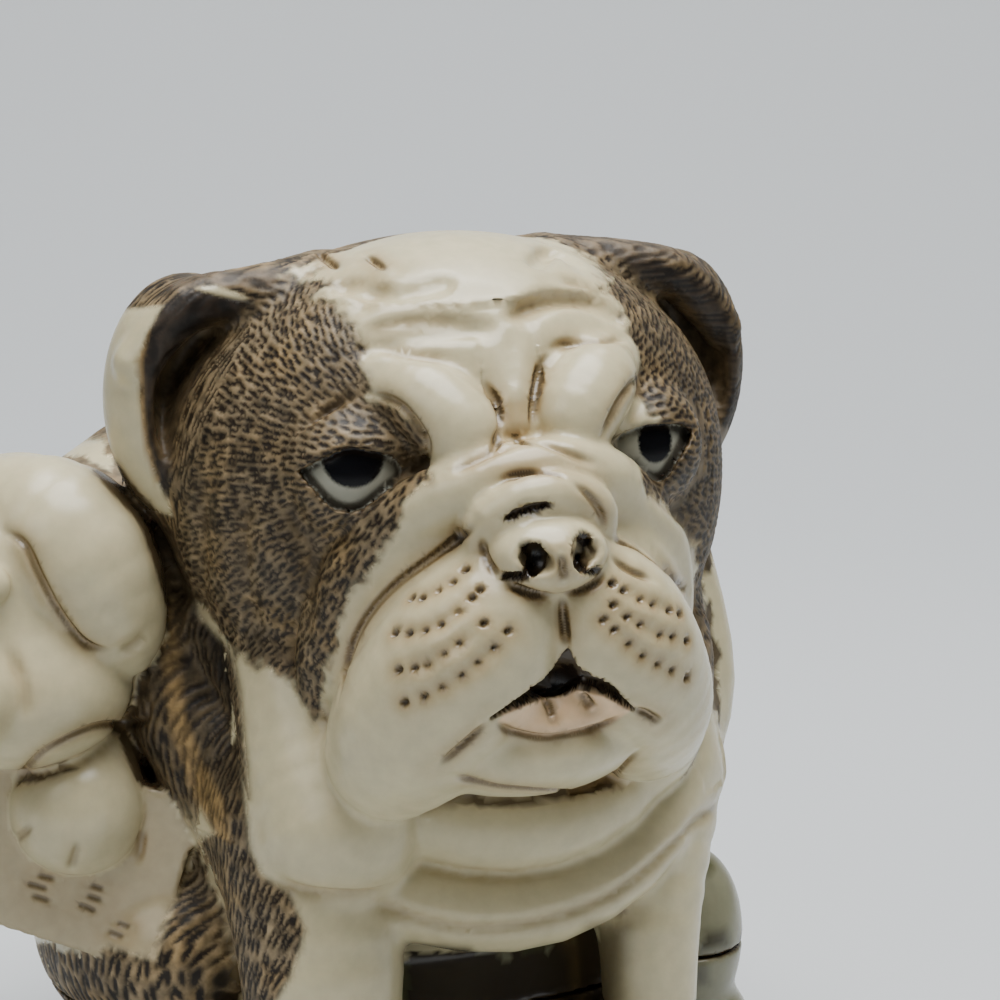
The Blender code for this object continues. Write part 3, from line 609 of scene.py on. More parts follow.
# Sampling: a closed skin on a grid
def sampled(distance, corner, blocks, step):
    """Distances on a grid of blocks, measured point by point only in blocks near the skin."""
    half = (BLOCK - 1) / 2 * step
    spans = [corner[k] + BLOCK * step * np.arange(blocks[k]) + half for k in range(3)]
    centres = np.stack(np.meshgrid(*spans, indexing="ij"), -1).reshape(-1, 3).astype(REAL)
    small = np.arange(BLOCK) * step - half
    offsets = np.stack(np.meshgrid(small, small, small, indexing="ij"), -1).reshape(-1, 3).astype(REAL)
    middle = distance(centres)
    values = np.repeat(middle[:, None], len(offsets), 1)
    near = np.flatnonzero(np.abs(middle) < BLOCK_REACH * BLOCK * step)
    for some in np.array_split(near, max(1, len(near) // 2000)):
        points = centres[some][:, None] + offsets
        values[some] = distance(points.reshape(-1, 3)).reshape(-1, len(offsets))
    values = values.reshape(*blocks, BLOCK, BLOCK, BLOCK)
    return values.transpose(0, 3, 1, 4, 2, 5).reshape([BLOCK * count for count in blocks])


def net_skin(values, corner, step):
    """Vertices and triangles where the values pass zero, with one vertex in each crossed cell."""
    inside = values < 0
    cells = np.array(values.shape) - 1
    shifts = [(i, j, k) for i in (0, 1) for j in (0, 1) for k in (0, 1)]
    number_inside = np.zeros(cells, np.uint8)
    for i, j, k in shifts:
        number_inside += inside[i:cells[0] + i, j:cells[1] + j, k:cells[2] + k]
    crossed = (number_inside > 0) & (number_inside < 8)
    place = np.stack(np.nonzero(crossed), 1)
    corner_values = {shift: values[tuple((place + shift).T)] for shift in shifts}
    total = np.zeros((len(place), 3), REAL)
    count = np.zeros(len(place), REAL)
    for start in shifts:
        for axis in range(3):
            if start[axis]:
                continue
            end = tuple(start[k] + (k == axis) for k in range(3))
            a, b = corner_values[start], corner_values[end]
            here = (a < 0) != (b < 0)
            share = np.where(here, a / np.where(here, a - b, 1), 0)
            spot = np.array(start, REAL) + np.eye(3, dtype=REAL)[axis] * share[:, None]
            total += np.where(here[:, None], spot, 0)
            count += here
    vertices = (corner + step * (place + total / count[:, None])).astype(REAL)
    index = np.full(cells, -1, np.int32)
    index[crossed] = np.arange(len(place))
    quads = []
    for axis in range(3):
        across = [k for k in range(3) if k != axis]
        span = [slice(1, cells[k]) for k in range(3)]
        span[axis] = slice(0, cells[axis])
        ahead = list(span)
        ahead[axis] = slice(1, cells[axis] + 1)
        spots = np.stack(np.nonzero(inside[tuple(span)] != inside[tuple(ahead)]), 1)
        spots[:, across] += 1
        ring = []
        for back in ((0, 0), (1, 0), (1, 1), (0, 1)):
            cell = spots.copy()
            cell[:, across] -= back
            ring.append(index[tuple(cell.T)])
        ring = np.stack(ring, 1)
        forward = inside[tuple(spots.T)] != (axis == 1)
        quads.append(np.where(forward[:, None], ring, ring[:, ::-1]))
    quads = np.concatenate(quads)
    corners = vertices[quads]
    one_way = length(corners[:, 0] - corners[:, 2]) < length(corners[:, 1] - corners[:, 3])
    first = np.where(one_way[:, None], quads[:, [0, 1, 2]], quads[:, [0, 1, 3]])
    second = np.where(one_way[:, None], quads[:, [0, 2, 3]], quads[:, [1, 2, 3]])
    return vertices, np.concatenate([first, second])


def mesh_normals(points, triangles):
    a, b, c = (points[triangles[:, k]] for k in range(3))
    face = np.cross(b - a, c - a)
    corners = triangles.ravel()
    sums = [np.bincount(corners, np.repeat(face[:, k], 3), len(points)) for k in range(3)]
    normals = np.stack(sums, 1).astype(REAL)
    return normals / np.maximum(length(normals), 1e-9)[:, None]


def settled(points, triangles, casting, rounds):
    """The vertices moved along their normals on to the skin."""
    for _ in range(rounds):
        error = np.clip(casting(points, figure(points)), -SETTLE_REACH, SETTLE_REACH)
        points = points - mesh_normals(points, triangles) * error[:, None]
    return points.astype(REAL)


def divided(points, triangles, wanted):
    """Halves each edge longer than is wanted at its ends, and joins the triangles again."""
    total = len(points)
    sides = np.concatenate([triangles[:, [0, 1]], triangles[:, [1, 2]], triangles[:, [2, 0]]])
    sides.sort(1)
    codes, place = np.unique(sides[:, 0].astype(np.int64) * total + sides[:, 1], return_inverse=True)
    ends = np.stack([codes // total, codes % total], 1)
    start, end = points[ends[:, 0]], points[ends[:, 1]]
    cut = length(end - start) > SPLIT_OVER * (wanted[ends[:, 0]] + wanted[ends[:, 1]]) / 2
    number = np.full(len(codes), -1)
    number[cut] = total + np.arange(cut.sum())
    marks = number[place.ravel()].reshape(3, -1).T
    parts = [triangles[(marks < 0).all(1)]]
    every = (marks >= 0).all(1)
    for turn in range(3):
        a, b, c = np.roll(triangles, -turn, 1).T
        ab, bc, ca = np.roll(marks, -turn, 1).T
        one = (ab >= 0) & (bc < 0) & (ca < 0)
        two = (ab >= 0) & (bc >= 0) & (ca < 0)
        parts += [np.stack(rows, 1)[one] for rows in ((a, ab, c), (ab, b, c))]
        parts += [np.stack(rows, 1)[two] for rows in ((ab, b, bc), (a, ab, bc), (a, bc, c))]
        parts.append(np.stack((a, ab, ca), 1)[every])
    parts.append(marks[every])
    points = np.concatenate([points, ((start + end) / 2)[cut]])
    between = np.maximum(wanted[ends[:, 0]], wanted[ends[:, 1]])[cut]
    return points.astype(REAL), np.concatenate(parts), np.concatenate([wanted, between])


# Marks that are placed by pixels of the photograph, found by walking along the line of sight
WALK_START = 60.0        # before the head's middle
WALK_STEPS = 90
WALK_SHARE = 0.7
SHORT_MARK = 1.2         # a mark no longer than this is as deep at its ends as in its middle
MARK_TAPER = 2.4         # a longer one runs out over this much at each end
MARK_END = 0.15          # to this share of its depth


def on_skin(pixels):
    """Points of the figure's skin that the photograph shows at these pixels."""
    lines = sight_lines(pixels).astype(REAL)
    walked = np.full(len(lines), VIEW_DISTANCE - WALK_START, REAL)
    for _ in range(WALK_STEPS):
        walked += WALK_SHARE * figure((EYE_POINT + lines * walked[:, None]).astype(REAL))
    return (EYE_POINT + lines * walked[:, None]).astype(REAL)


def curved(pixels, steps=6):
    """A smooth row of pixels through the given ones."""
    return smooth_curve([(x, y, 0) for x, y in pixels], steps)[:, :2]


class Mark(Fold):
    """A row of points on the skin, where something is cut or painted."""

    def __init__(self, points):
        self.follow(np.hstack([points, np.zeros((len(points), 1), REAL)]))
        self.ends = points[0], points[-1]
        self.span = length(points[1:] - points[:-1]).sum()

    def fade(self, places):
        """How much of the mark is left near its ends: a long one runs out softly."""
        if self.span < SHORT_MARK:
            return np.ones(len(places))
        from_end = np.minimum(length(places - self.ends[0]), length(places - self.ends[1]))
        return MARK_END + (1 - MARK_END) * step_up(from_end, 0, min(MARK_TAPER, 0.35 * self.span))


# Creases: how deep, how wide, and how dark their wash and painted shade are, then rows of pixels
LINE = dict(depth=0.46, width=0.28, stain_and_shade=1.2)
EDGE = dict(depth=0.42, width=0.30, stain_and_shade=1.0)
FOLD = dict(depth=0.42, width=0.50, stain_and_shade=0.34)
CREASE = dict(depth=0.44, width=0.40, stain_and_shade=0.55)
SOFT = dict(depth=0.40, width=0.95, stain_and_shade=0.16)
FAINT = dict(depth=0.18, width=0.8, stain_and_shade=0.08)
TRACE = dict(depth=0.16, width=0.22, stain_and_shade=0.75)
CLEFT = dict(depth=0.30, width=0.34, stain_and_shade=0.5)
CREASES = [
    (FOLD, [(351, 336), (389, 324), (420, 320), (455, 321), (474, 326)]),
    (SOFT, [(345, 310), (366, 298), (400, 290)]),
    (FOLD, [(368, 348), (392, 350), (411, 354), (436, 358), (460, 366)]),
    (FOLD, [(554, 279), (578, 282), (600, 289)]),
    (FOLD, [(500, 325), (520, 311), (551, 303), (585, 302), (618, 308)]),
    (CREASE, [(544, 355), (556, 347), (575, 342), (600, 340), (628, 338)]),
    (LINE, [(316, 250), (330, 262), (339, 269)]),
    (LINE, [(365, 254), (380, 265), (388, 271)]),
    (SOFT, [(388, 271), (350, 283), (322, 292)]),
    (FAINT, [(420, 300), (470, 294), (520, 296)]),
    (FAINT, [(510, 320), (512, 350), (514, 400)]),
    (LINE, [(298, 430), (326, 410), (345, 400), (362, 394)]),
    (EDGE, [(366, 392), (399, 404), (422, 432), (428, 451), (426, 468)]),
    (EDGE, [(479, 378), (494, 398), (500, 420), (498, 440), (486, 454), (455, 468), (443, 470)]),
    (EDGE, [(552, 349), (541, 366), (536, 388), (533, 412), (531, 436)]),
    (EDGE, [(637, 378), (620, 401), (606, 428), (599, 442)]),
    (LINE, [(508, 438), (522, 441), (538, 444)]),
    (FOLD, [(445, 475), (470, 462), (500, 448), (530, 440)]),
    (CREASE, [(530, 439), (552, 445), (575, 455), (602, 466)]),
    (EDGE, [
        (338, 700), (345, 670), (354, 640), (370, 612), (396, 584), (432, 557), (470, 530), (478, 520),
    ]),
    (LINE, [(495, 486), (509, 477), (535, 472), (555, 473), (570, 480)]),
    (EDGE, [(570, 480), (588, 494), (602, 514), (604, 534)]),
    (EDGE, [(482, 535), (484, 553), (491, 567), (502, 577)]),
    (LINE, [(561, 552), (563, 568), (565, 583)]),
    (LINE, [(502, 577), (517, 588), (540, 595), (558, 595)]),
    (EDGE, [(558, 595), (580, 590), (598, 580), (606, 565)]),
    (LINE, [(562, 595), (564, 621), (567, 651)]),
    (LINE, [(610, 538), (630, 545), (650, 558), (668, 574), (690, 592)]),
    (EDGE, [(610, 556), (630, 570), (655, 580)]),
    (LINE, [(490, 720), (474, 736), (457, 751), (437, 768)]),
    (LINE, [(632, 708), (650, 716), (663, 725)]),
    (EDGE, [(494, 718), (503, 727), (518, 734), (550, 738), (593, 729), (628, 714)]),
    (EDGE, [(546, 699), (550, 708), (553, 718)]),
    (EDGE, [(580, 692), (587, 701), (593, 710)]),
    (EDGE, [(453, 775), (480, 783), (507, 788), (572, 790), (615, 773), (641, 749)]),
    (SOFT, [(202, 460), (200, 540), (202, 600), (206, 640)]),
    (SOFT, [(245, 480), (241, 540), (247, 600), (262, 650)]),
    (SOFT, [(284, 486), (295, 520), (311, 557), (309, 600), (300, 650)]),
    (FAINT, [(330, 520), (345, 545), (346, 580)]),
    (SOFT, [(640, 484), (672, 508), (692, 534), (702, 567)]),
    (EDGE, [(0, 528), (24, 544), (41, 579), (61, 615), (86, 644), (116, 652)]),
    (FOLD, [(116, 652), (136, 645), (150, 630)]),
    (FOLD, [(0, 640), (18, 668), (26, 699), (20, 730)]),
    (EDGE, [(150, 700), (141, 722), (98, 726), (60, 742), (37, 758), (10, 790)]),
    (CLEFT, [(10, 842), (22, 834), (36, 822)]),
    (CLEFT, [(70, 872), (75, 855), (80, 838)]),
    (CLEFT, [(136, 868), (141, 848), (142, 826)]),
    (FOLD, [(266, 874), (296, 889), (330, 894), (366, 894), (392, 887)]),
    (TRACE, [(34, 874), (46, 877), (58, 880)]),
    (TRACE, [(30, 884), (37, 886), (44, 888)]),
    (TRACE, [(28, 894), (41, 898), (54, 902)]),
    (TRACE, [(88, 884), (97, 887), (106, 890)]),
    (TRACE, [(84, 894), (95, 898), (105, 901)]),
    (TRACE, [(81, 905), (87, 907), (93, 910)]),
    (TRACE, [(114, 922), (123, 925), (132, 928)]),
    (TRACE, [(104, 930), (115, 934), (126, 938)]),
    (FOLD, [(370, 900), (440, 925), (520, 925), (620, 890), (720, 800)]),
]

# Areas cut in: how deep, and how dark their wash and painted shade are, then outlines of pixels
HOLLOW_EDGE = 2.4        # in pixels: half the width of the soft edge,
HOLLOW_HALO = 9          # how far the paler stain reaches out,
HOLLOW_FINE = 4          # and how far out the mesh is fine
HOLLOWS = [
    (1.3, 1.4, [
        (567, 650), (556, 668), (545, 681), (520, 699), (492, 719), (505, 712), (522, 706), (545, 696),
        (577, 689), (604, 695), (634, 711), (616, 693), (600, 681), (585, 676), (575, 666),
    ]),
    (0.9, 1.4, [
        (521, 548), (527, 543), (537, 544), (544, 553), (542, 566), (533, 577), (520, 582), (502, 579),
        (502, 574), (514, 574), (524, 571), (529, 564), (529, 556),
    ]),
    (0.9, 1.4, [
        (574, 545), (578, 535), (585, 531), (592, 536), (589, 544), (582, 549), (580, 560), (586, 569),
        (602, 568), (598, 575), (584, 575), (576, 566), (573, 555),
    ]),
    (0.7, 1.3, [
        (504, 520), (514, 511), (530, 505), (546, 503), (554, 506), (540, 511), (524, 516), (510, 521),
    ]),
]
WHISKER_ROWS = [
    [(411, 598), (421, 597), (437, 589), (452, 581), (465, 569)],
    [(394, 633), (408, 633), (424, 630), (440, 624), (458, 611), (472, 597), (480, 589)],
    [(398, 670), (414, 668), (426, 665), (443, 654), (459, 643), (484, 623)],
    [(404, 703), (424, 697), (442, 688), (462, 676), (479, 663), (495, 648), (509, 631)],
    [(613, 583), (625, 590), (642, 599), (655, 604), (671, 610), (681, 614)],
    [(614, 605), (628, 617), (642, 625), (662, 635), (675, 637), (688, 641)],
    [(604, 620), (615, 630), (630, 645), (644, 657), (660, 665), (674, 671), (688, 678)],
]
WHISKER = dict(depth=0.5, width=0.24, stain_and_shade=1.3)
WHISKER_FURROW = dict(depth=0.26, width=0.6, stain_and_shade=0.10)


def marks():
    """Each crease, whisker furrow and whisker pit as its kind and its row of points on the skin."""
    rows = [(kind, curved(pixels)) for kind, pixels in CREASES]
    rows += [(WHISKER_FURROW, curved(pixels)) for pixels in WHISKER_ROWS]
    for pixels in WHISKER_ROWS:
        rows += [(WHISKER, np.array([(x - 1.0, y + 0.6), (x + 1.0, y - 0.6)])) for x, y in pixels]
    found = on_skin(np.vstack([row for _, row in rows]))
    starts = np.cumsum([len(row) for _, row in rows])[:-1]
    return [(kind, Mark(points)) for (kind, _), points in zip(rows, np.split(found, starts))]


# The head's map: round the upright through the skull, and up
MAP_CENTRE = 2.5         # how far back the upright stands
MAP_RADIUS = 20.0


def head_map(points):
    turn = np.arctan2(points[:, 0], MAP_CENTRE - points[:, 1])
    return np.stack([MAP_RADIUS * turn, points[:, 2] - HEAD_CENTRE[2]], 1)


LEFT_CREAM_EDGE = [
    (279, 274), (320, 280), (345, 318), (351, 336), (365, 345), (368, 372), (372, 395), (400, 405),
    (422, 432), (427, 451), (424, 470), (430, 480), (408, 510), (390, 540), (372, 565), (350, 600),
    (337, 630), (330, 660), (325, 718), (314, 716), (294, 686), (265, 668), (233, 650), (212, 632),
    (196, 612),
]
RIGHT_CREAM_EDGE = [
    (591, 256), (600, 289), (620, 304), (627, 333), (637, 350), (639, 368), (634, 385), (643, 402),
    (650, 416), (640, 440), (640, 484), (672, 508), (692, 534), (700, 567),
]


def cream_outline():
    """The outline, on the head's map, of the cream blaze, muzzle and brows."""
    edges = (LEFT_CREAM_EDGE, RIGHT_CREAM_EDGE)
    left, right = (head_map(on_skin(np.array(pixels, float))) for pixels in edges)
    below = np.array([(-60, left[-1][1]), (-60, -60), (18, -60), (18, -14)])
    above = np.array([(right[0][0], 40), (left[0][0], 40)])
    return np.vstack([left, below, right[::-1], above])


# Dashed fur: rings of dashes that point at a centre on the head's map, with their rows and gaps
HEAD_DASHES = (0.86, 0.47)
EAR_DASHES = (2.0, 0.42)
BODY_DASHES = (1.5, 0.48)


def scatter(ring, place, number):
    """A share from none to one that looks random and is always the same for these three numbers."""
    value = np.sin(ring * 127.1 + place * 311.7 + number * 74.7) * 43758.5453
    return value - np.floor(value)


def dashes(places, centre, row, gap):
    """How deep in a dash each place lies, from none to one."""
    local = places - centre
    radius = length(local)
    angle = np.arctan2(local[:, 1], local[:, 0])
    ring = np.floor(radius / row)
    best = np.zeros(len(places))
    for near_ring in (-1, 0, 1):
        this = ring + near_ring
        count = np.maximum(6, np.round(2 * math.pi * (this + 0.5) * row / gap))
        step = 2 * math.pi / count
        shift = scatter(this, 0, 9) * step
        base = np.floor((angle + shift) / step)
        for near_place in (-1, 0, 1):
            place = (base + near_place) % count
            along_share, across_share, size = (scatter(this, place, number) for number in (1, 2, 3))
            middle_radius = (this + 0.5 + 0.55 * (along_share - 0.5)) * row
            middle_angle = (base + near_place + 0.5 + 0.5 * (across_share - 0.5)) * step - shift
            along = radius - middle_radius
            across = radius * (angle - middle_angle) + 0.35 * (size - 0.5) * along
            half_long = row * (0.40 + 0.25 * size)
            half_wide = gap * (0.27 + 0.13 * across_share)
            far = (along / half_long) ** 2 + (across / half_wide) ** 2
            best = np.maximum(best, np.exp(-far))
    return best


DASH_CENTRES = on_skin(np.array([(430, 452), (604, 442)]))
EAR_DASH_CENTRE = np.array((-34.0, -34.0))
NECK_DASH_CENTRE = np.array((-30.0, -70.0))


# What each place on the skin belongs to, and its paint
DEPTH_CELL = 8           # in pixels: the cells in which the nearest place is looked for
FUR_DEPTH = 0.085
FUR_SPACING = 0.22       # between vertices in the dashed fur, and beside creases
CREASE_SPACING = 0.17
WIDE_SPACING = 9.0       # where nothing is divided
PARTS = [big_head, big_body, small_dog, foot]
HEAD, BODY, SMALL, FOOT = range(4)


def step_up(value, low, high):
    """From none at low to one at high, smoothly."""
    share = np.clip((value - low) / (high - low), 0, 1)
    return share * share * (3 - 2 * share)


def mottle(points, size, seed=0.0):
    """A soft uneven value from none to one, with lumps of about the given size."""
    x, y, z = (points / size + seed).T
    waves = np.sin(x * 2.1 + 1.3 * np.sin(y * 1.7)) + np.sin(y * 2.3 + 1.1 * np.sin(z * 1.9 + x))
    waves += np.sin(z * 2.2 + 1.2 * np.sin(x * 1.6 - y)) + 0.5 * np.sin(4.1 * x + 3.7 * y - 4.4 * z)
    return np.clip(0.5 + waves / 6, 0, 1)


def seen_places(points, normals):
    """Which places the photograph shows: in the frame, turned to the camera, with nothing in front."""
    sight = EYE_POINT - points
    away = length(sight)
    share = np.einsum("ij,ij->i", sight, normals) / away
    cells = np.floor(to_pixels(points) / DEPTH_CELL).astype(int)
    count = PHOTO_SIZE // DEPTH_CELL + 2
    framed = ((cells >= -1) & (cells < count - 1)).all(1)
    cell = np.where(framed, (cells[:, 0] + 1) * count + cells[:, 1] + 1, 0)
    nearest = np.full(count * count, np.inf)
    np.minimum.at(nearest, cell[framed], away[framed])
    slack = 0.9 + 0.5 / np.clip(share, 0.15, 1)
    return framed & (share > -0.1) & (away < nearest[cell] + slack)


def raise_to(values, places, new):
    values[places] = np.maximum(values[places], new)


class Skin:
    """Everything that carving and painting need to know about places on the skin.

    brown is the share of brown coat, pit how deep in a dash of fur a place is, depth how far creases and
    hollows cut it in, stain_and_shade and halo how dark their paint is, the brown wash and painted shade
    in the creases, and close how near the next crease runs.
    """

    def __init__(self, points, normals, creases, outline):
        self.points = points
        self.normals = normals
        self.part = np.argmin([part(points) for part in PARTS], 0)
        self.map = head_map(points)
        self.shown = seen_places(points, normals)
        self.pixels = to_pixels(points)
        local = points - HEAD_CENTRE
        self.eyes = [length(local - centre) for centre in EYES]
        self.eyeball = np.min(self.eyes, 0) < EYE_RADIUS + 0.12
        self.ear = np.min([bowl(local) for bowl in EAR_BOWLS], 0)
        self.ruff = joined(points, RUFF, 0.8)
        wander = 0.9 * (mottle(points, 1.1) - 0.5) + 0.5 * (mottle(points, 0.45, 3) - 0.5)
        self.cream = step_up(-outline_distance(self.map, outline) + wander, -0.45, 0.45)
        self.brown = self.brown_fur()
        for part, amount, feather, area in BROWN_AREAS:
            here, share = self.within(area, feather, part)
            self.brown[here] += (amount - self.brown[here]) * share
        self.pit = self.pits()
        self.depth, self.stain_and_shade, self.halo = np.zeros((3, len(points)))
        self.close = np.full(len(points), WIDE_SPACING)
        for kind, mark in creases:
            self.cut_mark(mark, **kind)
        for depth, stain_and_shade, area in HOLLOWS:
            here, share = self.within(area, HOLLOW_EDGE, HEAD)
            raise_to(self.depth, here, depth * share)
            raise_to(self.stain_and_shade, here, stain_and_shade * share)
            here, share = self.within(area, HOLLOW_HALO, HEAD)
            raise_to(self.halo, here, 0.7 * share)
            here, share = self.within(area, HOLLOW_FINE, HEAD)
            self.close[here[share > 0]] = 0
        self.depth[self.eyeball] = 0

    def cut_mark(self, mark, depth, width, stain_and_shade):
        """Cuts one crease or pit, with its dark wash and the paler halo round it, both partly painted
        shade.
        """
        outside = largest(np.maximum(mark.low - self.points, self.points - mark.high))
        near = np.flatnonzero(outside < 1.2 + 2 * width)
        apart = mark.measure(self.points[near])
        fade = mark.fade(self.points[near])
        raise_to(self.depth, near, fade * depth * np.exp(-(apart / width) ** 2))
        raise_to(self.stain_and_shade, near, fade * stain_and_shade * np.exp(-(apart / (1.25 * width)) ** 2))
        raise_to(self.halo, near, fade * stain_and_shade * np.exp(-(apart / (0.6 + 1.5 * width)) ** 2))
        if width < 0.5:
            self.close[near] = np.minimum(self.close[near], apart - 2 * width)

    def within(self, area, feather, part):
        """The seen places of a part near an outline of pixels, and how far each is inside it."""
        area = np.array(area, float)
        low, high = area.min(0) - feather, area.max(0) + feather
        close = ((self.pixels > low) & (self.pixels < high)).all(1)
        here = np.flatnonzero(self.shown & (self.part == part) & close)
        return here, step_up(-outline_distance(self.pixels[here], area), -feather, feather)

    def brown_fur(self):
        """One where the coat is brown, none where it is cream."""
        x, y, z = self.points.T
        head = 1 - self.cream
        back = step_up(y + 0.35 * (z - 30) + 3 * mottle(self.points, 4), 6, 9) * step_up(z, 22, 26)
        body = np.maximum(step_up(-self.ruff, -1.6, -0.6) * step_up(z, 24, 30) * (np.abs(x) > 15), back)
        flank = step_up(y + 0.4 * x + 4 * mottle(self.points, 5), 2.5, 4.5)
        parts = [self.part == number for number in (HEAD, BODY, SMALL)]
        return np.select(parts, [head, body, flank], 0.0).astype(float)

    def pits(self):
        """How deep in a dash of fur each place is."""
        pit = np.zeros(len(self.points))
        fine = np.flatnonzero(self.shown & (self.brown > 0.02) & ~self.eyeball)
        places = self.map[fine]
        left, right = head_map(DASH_CENTRES)
        head = self.part[fine] == HEAD
        ear = head & (self.ear[fine] < 1.5)
        regions = [
            (head & ~ear & (places[:, 0] < 0), left, *HEAD_DASHES),
            (head & ~ear & (places[:, 0] >= 0), right, *HEAD_DASHES),
            (ear, EAR_DASH_CENTRE, *EAR_DASHES),
            (~head, NECK_DASH_CENTRE, *BODY_DASHES),
        ]
        for here, centre, row, gap in regions:
            pit[fine[here]] = dashes(places[here], centre, row, gap)
        return step_up(pit, 0.10, 0.66) * self.brown

    def wanted(self):
        """The spacing of vertices that the carving needs at each place."""
        spacing = np.full(len(self.points), WIDE_SPACING)
        spacing[self.shown & (self.brown > 0.05) & (self.part != FOOT)] = FUR_SPACING
        spacing[self.shown & (self.close < 0.15)] = CREASE_SPACING
        lids = np.min(self.eyes, 0) < EYE_RADIUS + LID_THICKNESS + 0.4
        spacing[lids & self.shown] = CREASE_SPACING
        return spacing

    def carved(self):
        """The places moved in along their normals where something is cut."""
        depth = self.depth + FUR_DEPTH * self.pit
        return (self.points - self.normals * depth[:, None]).astype(REAL)


# Paint
CREAM = (0.57, 0.505, 0.315)
OCHRE = (0.33, 0.215, 0.085)
TAN = (0.165, 0.125, 0.072)
PIT_BROWN = (0.014, 0.009, 0.005)
# Near-black: dark paint in creases and pits, and also painted shade in hollows and gaps
DARK_PAINT_AND_SHADE = (0.018, 0.011, 0.006)
LIP_PINK = (0.90, 0.62, 0.38)
STONE_GREY = (0.22, 0.215, 0.14)
MOSS = (0.09, 0.09, 0.042)
CARD_TAN = (0.45, 0.37, 0.225)
EYE_WHITE = (0.34, 0.335, 0.265)
PUPIL = (0.004, 0.004, 0.005)
EAR_BROWN = (0.036, 0.026, 0.018)
RIM_TAN = (0.12, 0.088, 0.055)
# Brown wash in creases, partly painted shade, and painted shade low on the body by the gap under the chest
WASH_AND_SHADE = (0.085, 0.058, 0.028)
# Painted shade for the gap under the chest
GAP_SHADE = (0.045, 0.034, 0.022)

PROBES = (0.7, 2.4)      # how far out a place is probed for tight and for broad hollows

# Painted areas that the photograph shows, some of them painted shade in hollows and gaps: which part, the
# paint, how strongly, how soft its edge is in pixels, and an outline of pixels
TINTS = [
    (HEAD, LIP_PINK, 0.85, 2, [
        (498, 722), (505, 713), (522, 706), (545, 696), (577, 689), (604, 695), (632, 710), (609, 725),
        (593, 730), (550, 738), (518, 734),
    ]),
    (HEAD, EAR_BROWN, 1.0, 3, [
        (163, 306), (147, 334), (140, 360), (141, 403), (147, 447), (158, 480), (166, 500), (170, 470),
        (176, 420), (196, 380), (215, 345), (240, 312), (262, 296), (243, 300), (222, 296), (198, 290),
        (180, 292),
    ]),
    # Painted shade: the deep hollow at the top of the dog's right ear, made near-black
    (HEAD, DARK_PAINT_AND_SHADE, 1.0, 9, [(190, 296), (222, 298), (236, 312), (222, 336), (198, 350), (182, 330)]),
    (HEAD, RIM_TAN, 0.9, 4, [
        (181, 276), (212, 270), (280, 268), (275, 290), (240, 286), (205, 285), (175, 290), (160, 300),
    ]),
    (HEAD, OCHRE, 0.8, 3, [
        (150, 330), (143, 360), (144, 403), (150, 447), (160, 480), (155, 484), (144, 450), (139, 403),
        (139, 358),
    ]),
    (HEAD, EAR_BROWN, 0.9, 6, [
        (611, 248), (661, 261), (708, 282), (729, 314), (740, 361), (739, 407), (732, 439), (723, 420),
        (714, 370), (686, 323), (645, 282),
    ]),
    (HEAD, OCHRE, 0.6, 4, [(725, 432), (742, 424), (741, 450), (729, 456)]),
    (HEAD, OCHRE, 0.30, 12, [
        (470, 470), (500, 450), (545, 446), (600, 468), (612, 490), (560, 474), (500, 484),
    ]),
    (HEAD, OCHRE, 0.55, 6, [(504, 400), (527, 400), (531, 438), (506, 440)]),
    (HEAD, RIM_TAN, 0.8, 5, [(548, 232), (690, 236), (715, 280), (690, 262), (655, 258), (600, 256)]),
    (BODY, OCHRE, 0.8, 6, [
        (160, 600), (164, 690), (174, 740), (193, 795), (214, 830), (230, 842), (222, 800), (200, 760),
        (184, 710), (176, 600),
    ]),
    # Painted shade in the gap between the jowl and the ruff
    (BODY, DARK_PAINT_AND_SHADE, 0.9, 10, [(204, 630), (238, 645), (240, 690), (214, 684)]),
    (SMALL, CARD_TAN, 0.9, 3, [(96, 900), (182, 885), (156, 962), (92, 945)]),
    # Painted shade low on the body, by the gap under the chest
    (BODY, WASH_AND_SHADE, 0.75, 16, [(590, 925), (628, 925), (622, 1015), (585, 1015)]),
    # Painted shade in the gap under the chest, between the forelegs
    (BODY, GAP_SHADE, 1.0, 6, [(406, 944), (470, 948), (480, 964), (406, 966)]),
    (BODY, CARD_TAN, 0.9, 3, [(96, 890), (182, 885), (156, 962), (92, 945)]),
    # Painted shade on the foot under the chest, between the forelegs
    (FOOT, GAP_SHADE, 1.0, 6, [(395, 900), (640, 900), (640, 1015), (395, 1015)]),
    # Painted shade in the gaps between the rocks on the dog's left
    (FOOT, DARK_PAINT_AND_SHADE, 0.8, 9, [(694, 934), (726, 930), (730, 946), (700, 952)]),
    (FOOT, DARK_PAINT_AND_SHADE, 0.6, 8, [(694, 966), (706, 964), (708, 984), (696, 984)]),
]
BROWN_AREAS = [
    (BODY, 1.0, 5, [
        (146, 505), (161, 562), (165, 693), (173, 733), (190, 791), (215, 832), (200, 840), (147, 958),
        (0, 905), (0, 1020), (265, 1020), (292, 975), (306, 930), (290, 893), (262, 874), (251, 850),
        (246, 800), (240, 740), (236, 690), (232, 655), (196, 612), (184, 560), (172, 505),
    ]),
    (HEAD, 0.0, 3, [
        (163, 306), (120, 310), (80, 380), (80, 460), (130, 505), (172, 515), (168, 500), (158, 480),
        (147, 447), (141, 403), (140, 360), (147, 334),
    ]),
    (HEAD, 0.1, 3, [(196, 288), (215, 285), (245, 297), (252, 303), (238, 304), (215, 296)]),
    (SMALL, 0.0, 5, [(-20, 440), (120, 440), (180, 600), (215, 832), (147, 960), (-20, 910)]),
    (HEAD, 1.0, 6, [
        (165, 560), (196, 612), (232, 652), (241, 690), (245, 740), (250, 800), (225, 800), (160, 700),
    ]),
    (BODY, 0.0, 4, [(700, 520), (770, 520), (770, 870), (700, 870)]),
]


def mixed(colour, other, share):
    return colour + (np.array(other) - colour) * share[:, None]


